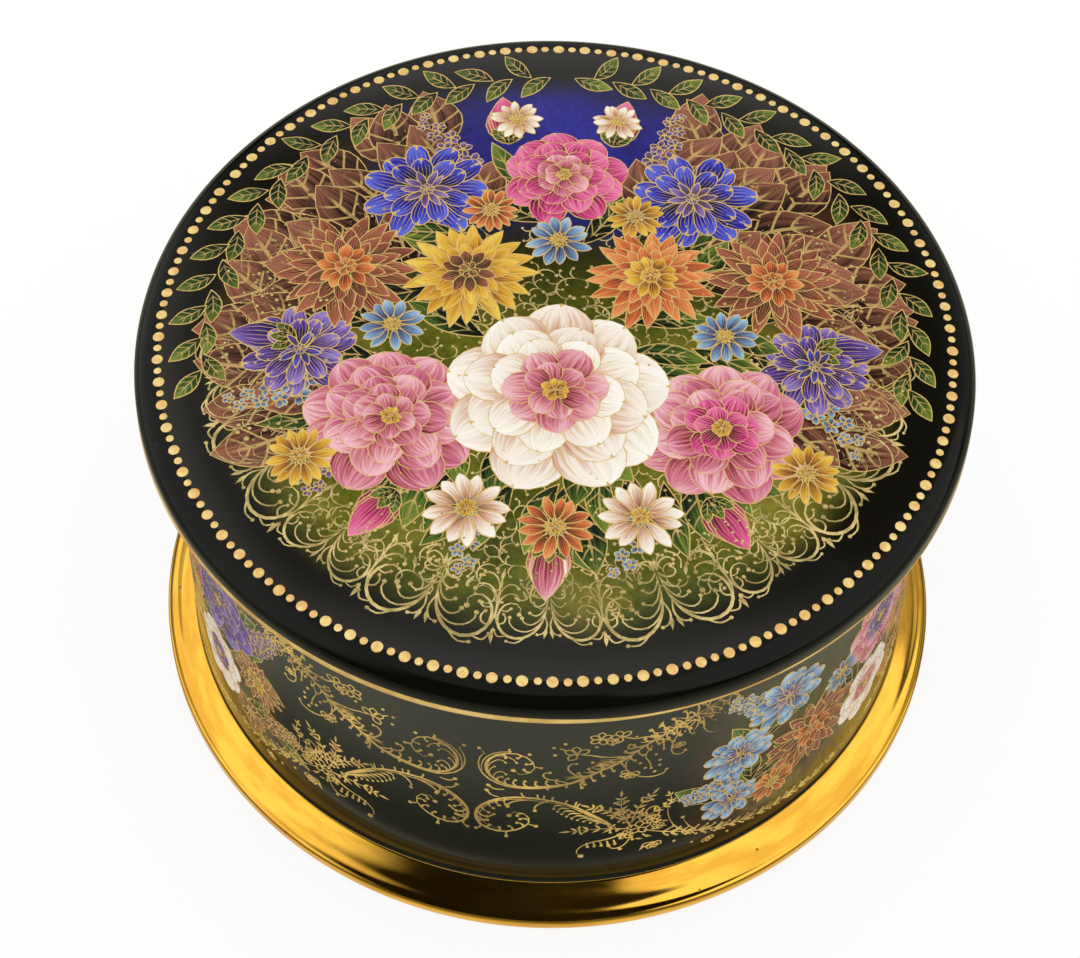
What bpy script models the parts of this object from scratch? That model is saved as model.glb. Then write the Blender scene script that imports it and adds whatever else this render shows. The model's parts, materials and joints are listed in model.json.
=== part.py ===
"""Round porcelain music box with a lift-off lid and an 18-note comb movement under its false floor.

Metres, +Z up. The origin is the middle of the ring that the foot stands on.
Local names: x runs along the pinned cylinder, z is up, and the key's arbor is the box's own axis.
"""

import math

import bmesh
import bpy
from mathutils import Matrix, Vector

MM = 0.001

# Clearances
SEAT = 0.3 * MM
RUN = 0.15 * MM
LID_PLAY = 0.4 * MM

# Broken and rounded edges
EDGE_BREAK = 0.4 * MM
EDGE_ROUND = 0.3 * MM

# Porcelain case: wall, foot and false floor
WALL_R = 49.5 * MM
WALL_T = 4.0 * MM
RIM_ROUND = 0.5 * MM
FOOT_SPREAD = 4.1 * MM
FOOT_H = 6.0 * MM
FOOT_LIP = 2.0 * MM
FOOT_COVE = 1.0 * MM
FOOT_SHOULDER = 1.3 * MM
FOOT_RING_W = 2.6 * MM
KEY_ROOM = 9.0 * MM
SKIRT_T = 2.8 * MM
LEDGE_W = 1.7 * MM
FLOOR_T = 3.4 * MM
TRINKET_DEPTH = 19.1 * MM
FLOOR_FILLET = 1.0 * MM

# Lid
LID_OVERHANG = 4.5 * MM
LID_EDGE_H = 2.3 * MM
LID_SHOULDER_W = 3.2 * MM
LID_SHOULDER_H = 2.2 * MM
LID_DOME = 2.2 * MM
LID_T = 3.8 * MM
FLANGE_T = 3.4 * MM
FLANGE_H = 5.2 * MM

# Bottom plate and bedplate
PLATE_T = 2.4 * MM
BED_T = 2.4 * MM
BED_BACK = 14.5 * MM
BED_COMB_SIDE = 21.2 * MM
BED_FLY_SIDE = 17.4 * MM
BED_CORNER = 3.8 * MM

# Screws: one pattern, three sizes
SCREW_R = 1.0 * MM
SCREW_HEAD_R = 1.8 * MM
SCREW_HEAD_H = 1.1 * MM
SCREW_SLOT = 0.5 * MM
PLATE_SCREW_SCALE = 1.25
SMALL_SCREW_SCALE = 0.75

# Spring barrel, winding arbor and key
BARREL_R = 9.9 * MM
BARREL_H = 8.6 * MM
BARREL_WALL = 0.7 * MM
BARREL_CAP_T = 0.6 * MM
CAP_STEP = 0.3 * MM
EAR_R = 2.1 * MM
ARBOR_R = 1.6 * MM
ARBOR_NECK_R = 1.2 * MM
SPRING_T = 0.3 * MM
SPRING_TURNS = 5
CLUTCH_WIRE = 0.5 * MM
CLUTCH_TURNS = 2
KEY_SPAN = 9.4 * MM
KEY_LOBE_R = 3.1 * MM
KEY_T = 1.4 * MM
KEY_HUB_R = 2.7 * MM
KEY_GROUND = 1.3 * MM
KEY_END_T = 1.6 * MM

# Contrate (crown) wheel and cylinder pinion
CROWN_TEETH = 40
PINION_TEETH = 10
CROWN_FACE = 2.6 * MM
CROWN_ADDENDUM = 0.45 * MM
CROWN_DEDENDUM = 0.6 * MM
CROWN_WEB_T = 0.9 * MM
CROWN_HUB_R = 3.0 * MM
CROWN_HUB_H = 2.0 * MM
CROWN_RUN = 1.6 * MM
NUT_R = 2.5 * MM
NUT_H = 1.0 * MM

# Pinned cylinder
DRUM_R = 6.0 * MM
DRUM_WALL = 0.6 * MM
TRACKS = 18
TRACK_PITCH = 0.93 * MM
PIN_R = 0.2 * MM
PIN_H = 0.6 * MM
PINS_PER_TRACK = 4
DRUM_END = 0.25 * MM
DRUM_BED_GAP = 0.5 * MM
CYL_ARBOR_R = 0.9 * MM
CAP_T = 1.0 * MM
POST_T = 0.9 * MM
POST_W = 4.6 * MM
BEARING_STAND = 2.4 * MM
PAD_EDGE = 0.35 * MM

# Great wheel, governor wheel, endless screw and fly
GREAT_TEETH = 40
GOV_PINION_TEETH = 8
TRAIN_MODULE = 0.3 * MM
GREAT_T = 1.2 * MM
GOV_RISE_DEG = 35.0
GOV_ARBOR_R = 0.5 * MM
WORM_WHEEL_TEETH = 24
WORM_MODULE = 0.35 * MM
WORM_WHEEL_T = 1.2 * MM
WORM_R = 1.25 * MM
WORM_TURNS = 4.5
WORM_SHAFT_R = 0.45 * MM
VANE_R = 3.6 * MM
VANE_H = 4.4 * MM
VANE_T = 0.5 * MM
VANE_HUB_T = 0.55 * MM
FRAME_T = 0.9 * MM
CHEEK_T = 0.8 * MM
CHEEK_BOSS = 1.3 * MM
CHEEK_FOOT = 2.0 * MM
FRAME_REACH = 2.3 * MM
ARM_W = 3.0 * MM
ARM_REACH = 1.25 * MM

# Comb
COMB_T = 1.0 * MM
TOOTH_GAP = 0.22 * MM
BASS_LENGTH = 7.4 * MM
TREBLE_LENGTH = 4.6 * MM
COMB_BACK_W = 5.6 * MM
LEAD_COUNT = 6
LEAD_H = 1.2 * MM
COMB_SCREW_GRIP = 2.8 * MM

# Stop plunger under the lid
PLUNGER_R = 0.9 * MM
PLUNGER_INSET = 2.9 * MM
PLUNGER_SPRING_WIRE = 0.4 * MM
PLUNGER_SPRING_TURNS = 6
BUSH_WALL = 0.45 * MM
BUSH_HEAD_H = 0.8 * MM
BUSH_HEAD_W = 0.5 * MM
PLUNGER_END_GAP = 0.9 * MM
EYE_W = 0.8 * MM
STOP_TIP = 0.5 * MM
COLLAR_H = 1.4 * MM
STOP_WIRE_R = 0.35 * MM

# Facet counts
ROUND = 48
DRUM_SIDES = 40
MID = 24
SMALL = 12
TINY = 9

# Heights that follow from the stack, table up
PLATE_TOP = KEY_ROOM + PLATE_T
LEDGE_Z = PLATE_TOP + SEAT
BED_Z = PLATE_TOP + SEAT
BED_TOP = BED_Z + BED_T
SWEEP_R = DRUM_R + PIN_H
AXIS_Z = BED_TOP + DRUM_BED_GAP + SWEEP_R
BARREL_Z = BED_TOP + SEAT
BARREL_TOP = BARREL_Z + BARREL_H

# Crown wheel and pinion sizes
CROWN_IN = BARREL_R + 2 * SEAT
CROWN_OUT = CROWN_IN + CROWN_FACE
CROWN_MID = (CROWN_IN + CROWN_OUT) / 2
PINION_R = CROWN_MID * PINION_TEETH / CROWN_TEETH
CROWN_PITCH_Z = AXIS_Z + PINION_R
CROWN_TIP_Z = CROWN_PITCH_Z - CROWN_ADDENDUM
CROWN_ROOT_Z = CROWN_PITCH_Z + CROWN_DEDENDUM
WEB_Z = max(BARREL_TOP + CROWN_RUN, CROWN_ROOT_Z)
WEB_TOP = WEB_Z + CROWN_WEB_T
HUB_TOP = WEB_TOP + CROWN_HUB_H
NUT_Z = HUB_TOP + SEAT
NUT_TOP = NUT_Z + NUT_H

# Stations along the cylinder
PINION_X0 = CROWN_IN + SEAT
PINION_X1 = CROWN_OUT - 0.5 * SEAT
POST_X0 = CROWN_OUT + SEAT
POST_X1 = POST_X0 + POST_T
DRUM_X0 = POST_X1 + SEAT
DRUM_L = TRACKS * TRACK_PITCH + 2 * DRUM_END
DRUM_X1 = DRUM_X0 + DRUM_L
CHEEK_X0 = DRUM_X1 + SEAT + RUN
CHEEK_X1 = CHEEK_X0 + CHEEK_T
GREAT_X0 = CHEEK_X1 + SEAT
GREAT_X1 = GREAT_X0 + GREAT_T
OUTER_X0 = GREAT_X1 + 2 * SEAT
OUTER_X1 = OUTER_X0 + POST_T
WHEEL_X0 = OUTER_X1 + SEAT
WHEEL_X1 = WHEEL_X0 + WORM_WHEEL_T
CHEEK2_X0 = WHEEL_X1 + SEAT
CHEEK2_X1 = CHEEK2_X0 + CHEEK_T

# Governor wheel and worm
GREAT_R = TRAIN_MODULE * GREAT_TEETH / 2
GOV_PINION_R = TRAIN_MODULE * GOV_PINION_TEETH / 2
GOV_REACH = GREAT_R + GOV_PINION_R
GOV_Y = -GOV_REACH * math.cos(math.radians(GOV_RISE_DEG))
GOV_Z = AXIS_Z + GOV_REACH * math.sin(math.radians(GOV_RISE_DEG))
WORM_WHEEL_R = WORM_MODULE * WORM_WHEEL_TEETH / 2
WORM_ADDENDUM = 0.85 * WORM_MODULE
WORM_DEDENDUM = 1.15 * WORM_MODULE
WORM_PITCH = math.pi * WORM_MODULE
WORM_X = (WHEEL_X0 + WHEEL_X1) / 2
WORM_Y = GOV_Y - WORM_WHEEL_R - WORM_R
FRAME_Z = BED_TOP + SEAT
FRAME_TOP = FRAME_Z + FRAME_T
VANE_Z = FRAME_TOP + SEAT
VANE_TOP = VANE_Z + VANE_H
ARM_Z = GOV_Z + WORM_PITCH * WORM_TURNS / 2 + 2 * SEAT
ARM_TOP = ARM_Z + FRAME_T
BACK_Y = WORM_Y - VANE_R - 2 * SEAT
BED_X1 = CHEEK2_X1 + FRAME_T
MOVEMENT_TOP = max(GOV_Z + WORM_WHEEL_R + WORM_ADDENDUM, ARM_TOP, NUT_TOP + 2 * SEAT)

# Porcelain heights above the movement
CEILING_Z = MOVEMENT_TOP + 3 * SEAT
FLOOR_Z = CEILING_Z + FLOOR_T
RIM_Z = FLOOR_Z + TRINKET_DEPTH

# Porcelain radii inwards and outwards of the wall
MOUTH_R = WALL_R - WALL_T
REBATE_R = WALL_R - SKIRT_T
PLATE_R = REBATE_R - SEAT
ROOM_R = REBATE_R - LEDGE_W
FOOT_R = WALL_R + FOOT_SPREAD
LID_Z = RIM_Z + SEAT
LID_R = WALL_R + LID_OVERHANG
LID_FLAT_Z = LID_Z + LID_EDGE_H + LID_SHOULDER_H
FLANGE_R = MOUTH_R - LID_PLAY
FLANGE_Z = LID_Z - FLANGE_H

# Stop plunger, beside the fly and under the lid's flange
STOP_X = WORM_X - VANE_R - SEAT - STOP_WIRE_R
PLUNGER_REACH = MOUTH_R - PLUNGER_INSET
PLUNGER_X = STOP_X
PLUNGER_Y = -math.sqrt(PLUNGER_REACH ** 2 - PLUNGER_X ** 2)
STOP_Z = VANE_Z + 0.5 * VANE_H
STOP_LIFT = VANE_H / 2 + STOP_WIRE_R + SEAT
PLUNGER_TOP = FLANGE_Z - SEAT
PLUNGER_Z = PLATE_TOP + PLUNGER_END_GAP
BUSH_BORE = PLUNGER_R + RUN
BUSH_R = BUSH_BORE + BUSH_WALL
BUSH_HEAD_R = BUSH_R + BUSH_HEAD_W

# Comb seat
COMB_TIP_Y = SWEEP_R + SEAT
COMB_Z0 = AXIS_Z - COMB_T / 2
COMB_Z1 = AXIS_Z + COMB_T / 2
COMB_ROOT_Y = COMB_TIP_Y + BASS_LENGTH
COMB_BACK_Y = COMB_ROOT_Y + COMB_BACK_W
LEDGE_TOP = COMB_Z0 - SEAT
COMB_SCREW_Y = (COMB_ROOT_Y + COMB_BACK_Y) / 2

# Axes that turn local +Z onto world +X, with local +X on world +Y
ALONG_X = Matrix(((0, 0, 1, 0), (1, 0, 0, 0), (0, 1, 0, 0), (0, 0, 0, 1)))
# Outlines drawn in x and z, extruded along world -Y
ALONG_Y =Matrix(((1, 0, 0, 0), (0, 0, -1, 0), (0, 1, 0, 0), (0, 0, 0, 1)))


def clear_scene():
    """Removes whatever the scene holds."""
    for ob in list(bpy.data.objects):
        bpy.data.objects.remove(ob, do_unlink=True)


def material(name, colour, roughness, metallic):
    """A Principled material with one colour."""
    mat = bpy.data.materials.new(name)
    mat.use_nodes = True
    bsdf = mat.node_tree.nodes["Principled BSDF"]
    bsdf.inputs["Base Color"].default_value = (*colour, 1.0)
    bsdf.inputs["Roughness"].default_value = roughness
    bsdf.inputs["Metallic"].default_value = metallic
    return mat


FINISH = {
    "porcelain": ((0.04, 0.037, 0.024), 0.12, 0.0),
    "lid_porcelain": ((0.05, 0.05, 0.12), 0.12, 0.0),
    "plastic": ((0.015, 0.015, 0.016), 0.5, 0.0),
    "zinc": ((0.45, 0.46, 0.47), 0.45, 1.0),
    "brass": ((0.75, 0.55, 0.22), 0.3, 1.0),
    "steel": ((0.55, 0.56, 0.58), 0.3, 1.0),
    "spring_steel": ((0.16, 0.2, 0.28), 0.35, 1.0),
    "nickel": ((0.7, 0.68, 0.64), 0.22, 1.0),
    "nylon": ((0.8, 0.78, 0.7), 0.5, 0.0),
}


def axis_empty(name, place):
    """An empty that marks a joint's axis."""
    empty = bpy.data.objects.new(name, None)
    empty.empty_display_size = 0.01
    empty.location = place
    bpy.context.collection.objects.link(empty)
    return empty


def finish(name, bm, kind, parent=None, matrix=None, smooth=30):
    """Turns a bmesh in world coordinates into a named object on its parent's axis."""
    if matrix is not None:
        bm.transform(matrix)
    outward(bm)
    if parent is not None:
        bm.transform(Matrix.Translation(-parent.location))
    mesh = bpy.data.meshes.new(name)
    bm.to_mesh(mesh)
    bm.free()
    mesh.shade_smooth()
    mesh.set_sharp_from_angle(angle=math.radians(smooth))
    ob = bpy.data.objects.new(name, mesh)
    mesh.materials.append(material("mat_" + name, *FINISH[kind]))
    bpy.context.collection.objects.link(ob)
    ob.parent = parent
    return ob


def outward(bm):
    """Merges doubled points and turns one closed shell's faces outward."""
    bmesh.ops.remove_doubles(bm, verts=bm.verts, dist=1e-7)
    bm.normal_update()
    bmesh.ops.recalc_face_normals(bm, faces=bm.faces)
    if bm.calc_volume(signed=True) < 0:
        bmesh.ops.reverse_faces(bm, faces=bm.faces)
    return bm


def lathe(profile, steps):
    """Spins a closed (r, z) loop about Z. Points on the axis close the shape there."""
    bm = bmesh.new()
    verts = [bm.verts.new((r, 0.0, z)) for r, z in profile]
    edges = [bm.edges.new((a, b)) for a, b in zip(verts, verts[1:] + verts[:1])]
    on_axis = [e for e in edges if all(v.co.x < 1e-9 for v in e.verts)]
    for e in on_axis:
        bm.edges.remove(e)
        edges.remove(e)
    bmesh.ops.spin(
        bm,
        geom=verts + edges,
        cent=(0, 0, 0),
        axis=(0, 0, 1),
        angle=2 * math.pi,
        steps=steps,
        use_merge=True,
    )
    return outward(bm)


def rod(r, z0, z1, steps=SMALL, x=0.0, y=0.0):
    """A plain cylinder along Z."""
    bm = bmesh.new()
    spot = Matrix.Translation((x, y, (z0 + z1) / 2))
    bmesh.ops.create_cone(
        bm, cap_ends=True, segments=steps, radius1=r, radius2=r, depth=z1 - z0, matrix=spot
    )
    return bm


def prism(outline, z0, z1):
    """Extrudes a flat outline along Z."""
    bm = bmesh.new()
    face = bm.faces.new([bm.verts.new((x, y, z0)) for x, y in outline])
    grown = bmesh.ops.extrude_face_region(bm, geom=[face])["geom"]
    moved = [g for g in grown if isinstance(g, bmesh.types.BMVert)]
    bmesh.ops.translate(bm, verts=moved, vec=(0, 0, z1 - z0))
    return outward(bm)


def join(*parts):
    """Gathers several bmeshes, which may be separate shells, in one."""
    total = bmesh.new()
    for part in parts:
        mesh = bpy.data.meshes.new("scratch")
        part.to_mesh(mesh)
        part.free()
        total.from_mesh(mesh)
        bpy.data.meshes.remove(mesh)
    return total


def boolean(target, bm, name, operation="DIFFERENCE"):
    """Adds an exact Boolean by a tool object that is not part of the model."""
    mesh = bpy.data.meshes.new(name)
    bm.to_mesh(mesh)
    bm.free()
    tool = bpy.data.objects.new(name, mesh)
    tool.hide_render = True
    tool.display_type = "WIRE"
    bpy.context.collection.objects.link(tool)
    if target.parent is not None:
        mesh.transform(Matrix.Translation(-target.parent.location))
        tool.parent = target.parent
    mod = target.modifiers.new(name, "BOOLEAN")
    mod.operation = operation
    mod.object = tool
    mod.solver = "EXACT"
    return tool


def arc(cx, cy, r, start, end, count):
    """Points on an arc, in degrees, both ends included."""
    turn = [math.radians(start + (end - start) * i / (count - 1)) for i in range(count)]
    return [(cx + r * math.cos(a), cy + r * math.sin(a)) for a in turn]


def circle(cx, cy, r, count):
    """Points round a circle."""
    return arc(cx, cy, r, 0, 360 * (count - 1) / count, count)


def gear_outline(teeth, pitch_r, addendum, dedendum, share, tooth_at):
    """A gear's outline. share is the tooth's part of the pitch at its root, pitch line and tip."""
    points = []
    step = 360 / teeth
    radii = (pitch_r - dedendum, pitch_r, pitch_r + addendum)
    for k in range(teeth):
        mid = tooth_at + k * step
        for side in (-1, 1):
            order = range(3) if side < 0 else reversed(range(3))
            for i in order:
                if i == 1 and teeth > 30:
                    continue
                a = math.radians(mid + side * share[i] * step / 2)
                points.append((radii[i] * math.cos(a), radii[i] * math.sin(a)))
    return points


def wire(name, points, r, kind, parent=None, resolution=0):
    """A round wire along points in world coordinates, as a bevelled curve."""
    curve = bpy.data.curves.new(name, "CURVE")
    curve.dimensions = "3D"
    curve.bevel_depth = r
    curve.bevel_resolution = resolution
    curve.use_fill_caps = True
    spline = curve.splines.new("POLY")
    spline.points.add(len(points) - 1)
    base = parent.location if parent is not None else Vector((0, 0, 0))
    for slot, p in zip(spline.points, points):
        slot.co = (*(Vector(p) - base), 1)
    ob = bpy.data.objects.new(name, curve)
    curve.materials.append(material("mat_" + name, *FINISH[kind]))
    bpy.context.collection.objects.link(ob)
    ob.parent = parent
    return ob


def coil(x, y, z0, z1, r, turns, per_turn=10):
    """Points along a helix."""
    count = turns * per_turn
    rise = (z1 - z0) / count
    return [
        (
            x + r * math.cos(2 * math.pi * i / per_turn),
            y + r * math.sin(2 * math.pi * i / per_turn),
            z0 + rise * i,
        )
        for i in range(count + 1)
    ]


def slotted_screw(name, x, y, seat_z, reach, scale=1.0, down=1, kind="steel"):
    """A cheese-head screw. Its head lies against seat_z, and its shank runs reach beyond."""
    shank = SCREW_R * scale
    head = SCREW_HEAD_R * scale
    tall = SCREW_HEAD_H * scale
    edge = 0.2 * tall
    profile = [
        (0, -reach),
        (shank, -reach),
        (shank, 0),
        (head, 0),
        (head, tall - edge),
        (head - edge, tall),
        (0, tall),
    ]
    bm = lathe(profile, TINY)
    bm.transform(Matrix.Diagonal((1, 1, down, 1)))
    bm.transform(Matrix.Translation((x, y, seat_z)))
    ob = finish(name, bm, kind)
    half = SCREW_SLOT * scale / 2
    slot = prism([(-2 * head, -half), (2 * head, -half), (2 * head, half), (-2 * head, half)],
                 0.5 * tall, 2 * tall)
    slot.transform(Matrix.Diagonal((1, 1, down, 1)))
    slot.transform(Matrix.Translation((x, y, seat_z)))
    boolean(ob, outward(slot), "cut_slot_" + name)
    return ob


def build_case():
    """The porcelain case: foot, wall, trinket room with a false floor, and a room below it."""
    lip = 0.3 * FOOT_LIP
    slope_top = FOOT_H - FOOT_COVE
    profile = [
        (0, FLOOR_Z),
        (MOUTH_R - FLOOR_FILLET, FLOOR_Z),
        (MOUTH_R - 0.3 * FLOOR_FILLET, FLOOR_Z + 0.3 * FLOOR_FILLET),
        (MOUTH_R, FLOOR_Z + FLOOR_FILLET),
        (MOUTH_R, RIM_Z - RIM_ROUND),
        (MOUTH_R + RIM_ROUND, RIM_Z),
        (WALL_R - RIM_ROUND, RIM_Z),
        (WALL_R, RIM_Z - RIM_ROUND),
        (WALL_R, FOOT_H),
        (WALL_R + 0.25 * FOOT_COVE, FOOT_H - 0.6 * FOOT_COVE),
        (WALL_R + 0.8 * FOOT_COVE, slope_top),
        (FOOT_R - FOOT_SHOULDER, FOOT_LIP + FOOT_SHOULDER),
        (FOOT_R - EDGE_ROUND, FOOT_LIP + EDGE_BREAK),
        (FOOT_R, FOOT_LIP),
        (FOOT_R, lip),
        (FOOT_R - lip, 0),
        (FOOT_R - lip - FOOT_RING_W, 0),
        (FOOT_R - lip - FOOT_RING_W - EDGE_BREAK, 1.5 * EDGE_BREAK),
        (REBATE_R, 0.75 * KEY_ROOM),
        (REBATE_R, LEDGE_Z),
        (ROOM_R, LEDGE_Z),
        (ROOM_R, CEILING_Z - RIM_ROUND),
        (ROOM_R - RIM_ROUND, CEILING_Z),
        (0, CEILING_Z),
    ]
    case = finish("box_body", lathe(profile, ROUND), "porcelain")
    hole = rod(BUSH_R + SEAT, CEILING_Z - SEAT, FLOOR_Z + SEAT, SMALL, PLUNGER_X, PLUNGER_Y)
    boolean(case, hole, "cut_bush_hole")


def build_lid(axis):
    """The lift-off lid: a low dome with a gilded edge and a locating flange below."""
    flat_r = LID_R - LID_SHOULDER_W
    flange_in = FLANGE_R - FLANGE_T
    under = LID_FLAT_Z - LID_T
    dome = [
        (flat_r * (1 - s), LID_FLAT_Z + LID_DOME * (1 - (1 - s) ** 2)) for s in (0, 0.33, 0.66, 1)
    ]
    soffit = [(flange_in * 0.97 * s, under + LID_DOME * (1 - s ** 2)) for s in (0, 0.5, 1)]
    profile = dome + soffit + [
        (flange_in, under - 2.5 * EDGE_BREAK),
        (flange_in, FLANGE_Z + EDGE_BREAK),
        (flange_in + EDGE_BREAK, FLANGE_Z),
        (FLANGE_R - 1.5 * EDGE_BREAK, FLANGE_Z),
        (FLANGE_R, FLANGE_Z + 1.5 * EDGE_BREAK),
        (FLANGE_R, LID_Z),
        (LID_R - EDGE_ROUND, LID_Z),
        (LID_R, LID_Z + EDGE_ROUND),
        (LID_R, LID_Z + LID_EDGE_H),
        (LID_R - 0.12 * LID_SHOULDER_W, LID_Z + LID_EDGE_H + 0.45 * LID_SHOULDER_H),
        (LID_R - 0.4 * LID_SHOULDER_W, LID_Z + LID_EDGE_H + 0.82 * LID_SHOULDER_H),
    ]
    finish("lid", lathe(profile, ROUND), "lid_porcelain", parent=axis)


PLATE_SCREWS = (
    ("a", -0.72 * BED_BACK, -0.78 * BED_FLY_SIDE),
    ("b", -0.72 * BED_BACK, 0.76 * BED_COMB_SIDE),
    ("c", DRUM_X0 + 0.55 * DRUM_L, -0.78 * BED_FLY_SIDE),
)


def build_bottom_plate():
    """The plastic disc in the foot's rebate, and the three screws that hold the movement to it."""
    plate = finish("bottom_plate", rod(PLATE_R, KEY_ROOM, PLATE_TOP, ROUND), "plastic")
    holes = [rod(ARBOR_R + 2 * SEAT, KEY_ROOM - MM, PLATE_TOP + MM, MID)]
    reach = SCREW_R * PLATE_SCREW_SCALE
    for _, x, y in PLATE_SCREWS:
        holes.append(rod(reach + SEAT, KEY_ROOM - MM, PLATE_TOP + MM, SMALL, x, y))
    boolean(plate, join(*holes), "cut_plate_holes")
    for tag, x, y in PLATE_SCREWS:
        slotted_screw("plate_screw_" + tag, x, y, KEY_ROOM - SEAT, PLATE_T + BED_T,
                      PLATE_SCREW_SCALE, -1)


EARS = ((0.0, BARREL_R + 0.8 * EAR_R), (0.0, -BARREL_R - 0.8 * EAR_R))
COMB_SCREW_X = (DRUM_X0 + 0.25 * DRUM_L, DRUM_X0 + 0.75 * DRUM_L)
FRAME_SCREW = (OUTER_X0, 0.88 * GOV_Y)
SMALL_HEAD_R = SCREW_HEAD_R * SMALL_SCREW_SCALE
PAD_R = SMALL_HEAD_R + PAD_EDGE
OUTER_SCREW = (OUTER_X1 + SMALL_HEAD_R + RUN, POST_W / 2 + BEARING_STAND)


def build_bedplate():
    """The cast bedplate: base, comb ledge and the cylinder's inner bearing post."""
    c = BED_CORNER
    x0, x1 = -BED_BACK, BED_X1
    y0, y1 = -BED_FLY_SIDE, BED_COMB_SIDE
    outline = [
        (x0 + c, y0), (x1 - 1.1 * c, y0), (x1, y0 + 1.1 * c), (x1, y1 - 2 * c),
        (x1 - 2 * c, y1), (x0 + c, y1), (x0, y1 - c), (x0, y0 + c),
    ]
    bed = finish("bedplate", prism(outline, BED_Z, BED_TOP), "zinc")
    ledge = prism(
        [(DRUM_X0, COMB_ROOT_Y), (DRUM_X1, COMB_ROOT_Y), (DRUM_X1, COMB_BACK_Y),
         (DRUM_X0, COMB_BACK_Y)],
        BED_Z + 0.5 * BED_T, LEDGE_TOP,
    )
    boolean(bed, ledge, "add_comb_ledge", "UNION")
    w = POST_W / 2
    post = prism(
        [(-1.4 * w, BED_Z + 0.5 * BED_T), (1.4 * w, BED_Z + 0.5 * BED_T), (w, AXIS_Z)]
        + arc(0, AXIS_Z, w, 30, 150, 7) + [(-w, AXIS_Z)],
        POST_X0, POST_X1,
    )
    post.transform(ALONG_X)
    boolean(bed, post, "add_inner_post", "UNION")
    bore = rod(CYL_ARBOR_R + RUN, POST_X0 - SEAT, POST_X1 + SEAT, SMALL)
    bore.transform(ALONG_X)
    bore.transform(Matrix.Translation((0, 0, AXIS_Z)))
    low, high = BED_Z - MM, BED_TOP + MM
    holes = [bore, rod(ARBOR_R + 2 * SEAT, low, high, MID)]
    for _, x, y in PLATE_SCREWS:
        holes.append(rod(SCREW_R * PLATE_SCREW_SCALE + SEAT, low, high, SMALL, x, y))
    for x, y in EARS + (FRAME_SCREW, OUTER_SCREW):
        holes.append(rod(SCREW_R * SMALL_SCREW_SCALE + SEAT, low, high, SMALL, x, y))
    for x in COMB_SCREW_X:
        holes.append(rod(SCREW_R + SEAT, LEDGE_TOP - COMB_SCREW_GRIP - 2 * EDGE_BREAK, LEDGE_TOP + MM, SMALL,
                         x, COMB_SCREW_Y))
    boolean(bed, join(*holes), "cut_bed_holes")


def build_barrel():
    """The fixed spring barrel with its cap, mainspring and two ear screws."""
    inside = BARREL_R - BARREL_WALL
    cap_z = BARREL_TOP - BARREL_CAP_T
    step = CAP_STEP
    base = BARREL_WALL
    cup = lathe(
        [
            (ARBOR_R + SEAT, BARREL_Z), (BARREL_R, BARREL_Z), (BARREL_R, BARREL_TOP),
            (inside + step, BARREL_TOP), (inside + step, cap_z - SEAT), (inside, cap_z - SEAT),
            (inside, BARREL_Z + base), (ARBOR_R + SEAT, BARREL_Z + base),
        ],
        MID,
    )
    barrel = finish("spring_barrel", cup, "brass")
    ears = [rod(EAR_R, BARREL_Z, BARREL_Z + base, SMALL, x, y) for x, y in EARS]
    boolean(barrel, join(*ears), "add_barrel_ears", "UNION")
    holes = [
        rod(SCREW_R * SMALL_SCREW_SCALE + SEAT, BARREL_Z - MM, BARREL_Z + base + MM, SMALL, x, y)
        for x, y in EARS
    ]
    boolean(barrel, join(*holes), "cut_ear_holes")
    for tag, (x, y) in zip("ab", EARS):
        slotted_screw("barrel_screw_" + tag, x, y, BARREL_Z + base + SEAT,
                      base + SEAT + 0.7 * BED_T, SMALL_SCREW_SCALE)
    cap = lathe(
        [(ARBOR_R + SEAT, cap_z), (inside + step - SEAT, cap_z),
         (inside + step - SEAT, BARREL_TOP), (ARBOR_R + SEAT, BARREL_TOP)],
        MID,
    )
    finish("barrel_cap", cap, "brass")
    low = BARREL_Z + base + SEAT
    high = cap_z - SEAT
    start_r = ARBOR_R + SEAT + SPRING_T / 2
    end_r = inside - SEAT - SPRING_T / 2
    per_turn = 14
    count = SPRING_TURNS * per_turn
    inner, outer = [], []
    for i in range(count + 1):
        a = 2 * math.pi * i / per_turn
        r = start_r + (end_r - start_r) * i / count
        inner.append(((r - SPRING_T / 2) * math.cos(a), (r - SPRING_T / 2) * math.sin(a)))
        outer.append(((r + SPRING_T / 2) * math.cos(a), (r + SPRING_T / 2) * math.sin(a)))
    finish("mainspring", ribbon(inner, outer, low, high), "spring_steel", smooth=40)


def ribbon(inner, outer, z0, z1):
    """A strip between two flat paths, as a strip of quads extruded along Z."""
    bm = bmesh.new()
    a = [bm.verts.new((x, y, z0)) for x, y in inner]
    b = [bm.verts.new((x, y, z0)) for x, y in outer]
    faces = [bm.faces.new((a[i], b[i], b[i + 1], a[i + 1])) for i in range(len(a) - 1)]
    grown = bmesh.ops.extrude_face_region(bm, geom=faces)["geom"]
    moved = [g for g in grown if isinstance(g, bmesh.types.BMVert)]
    bmesh.ops.translate(bm, verts=moved, vec=(0, 0, z1 - z0))
    return bm


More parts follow.
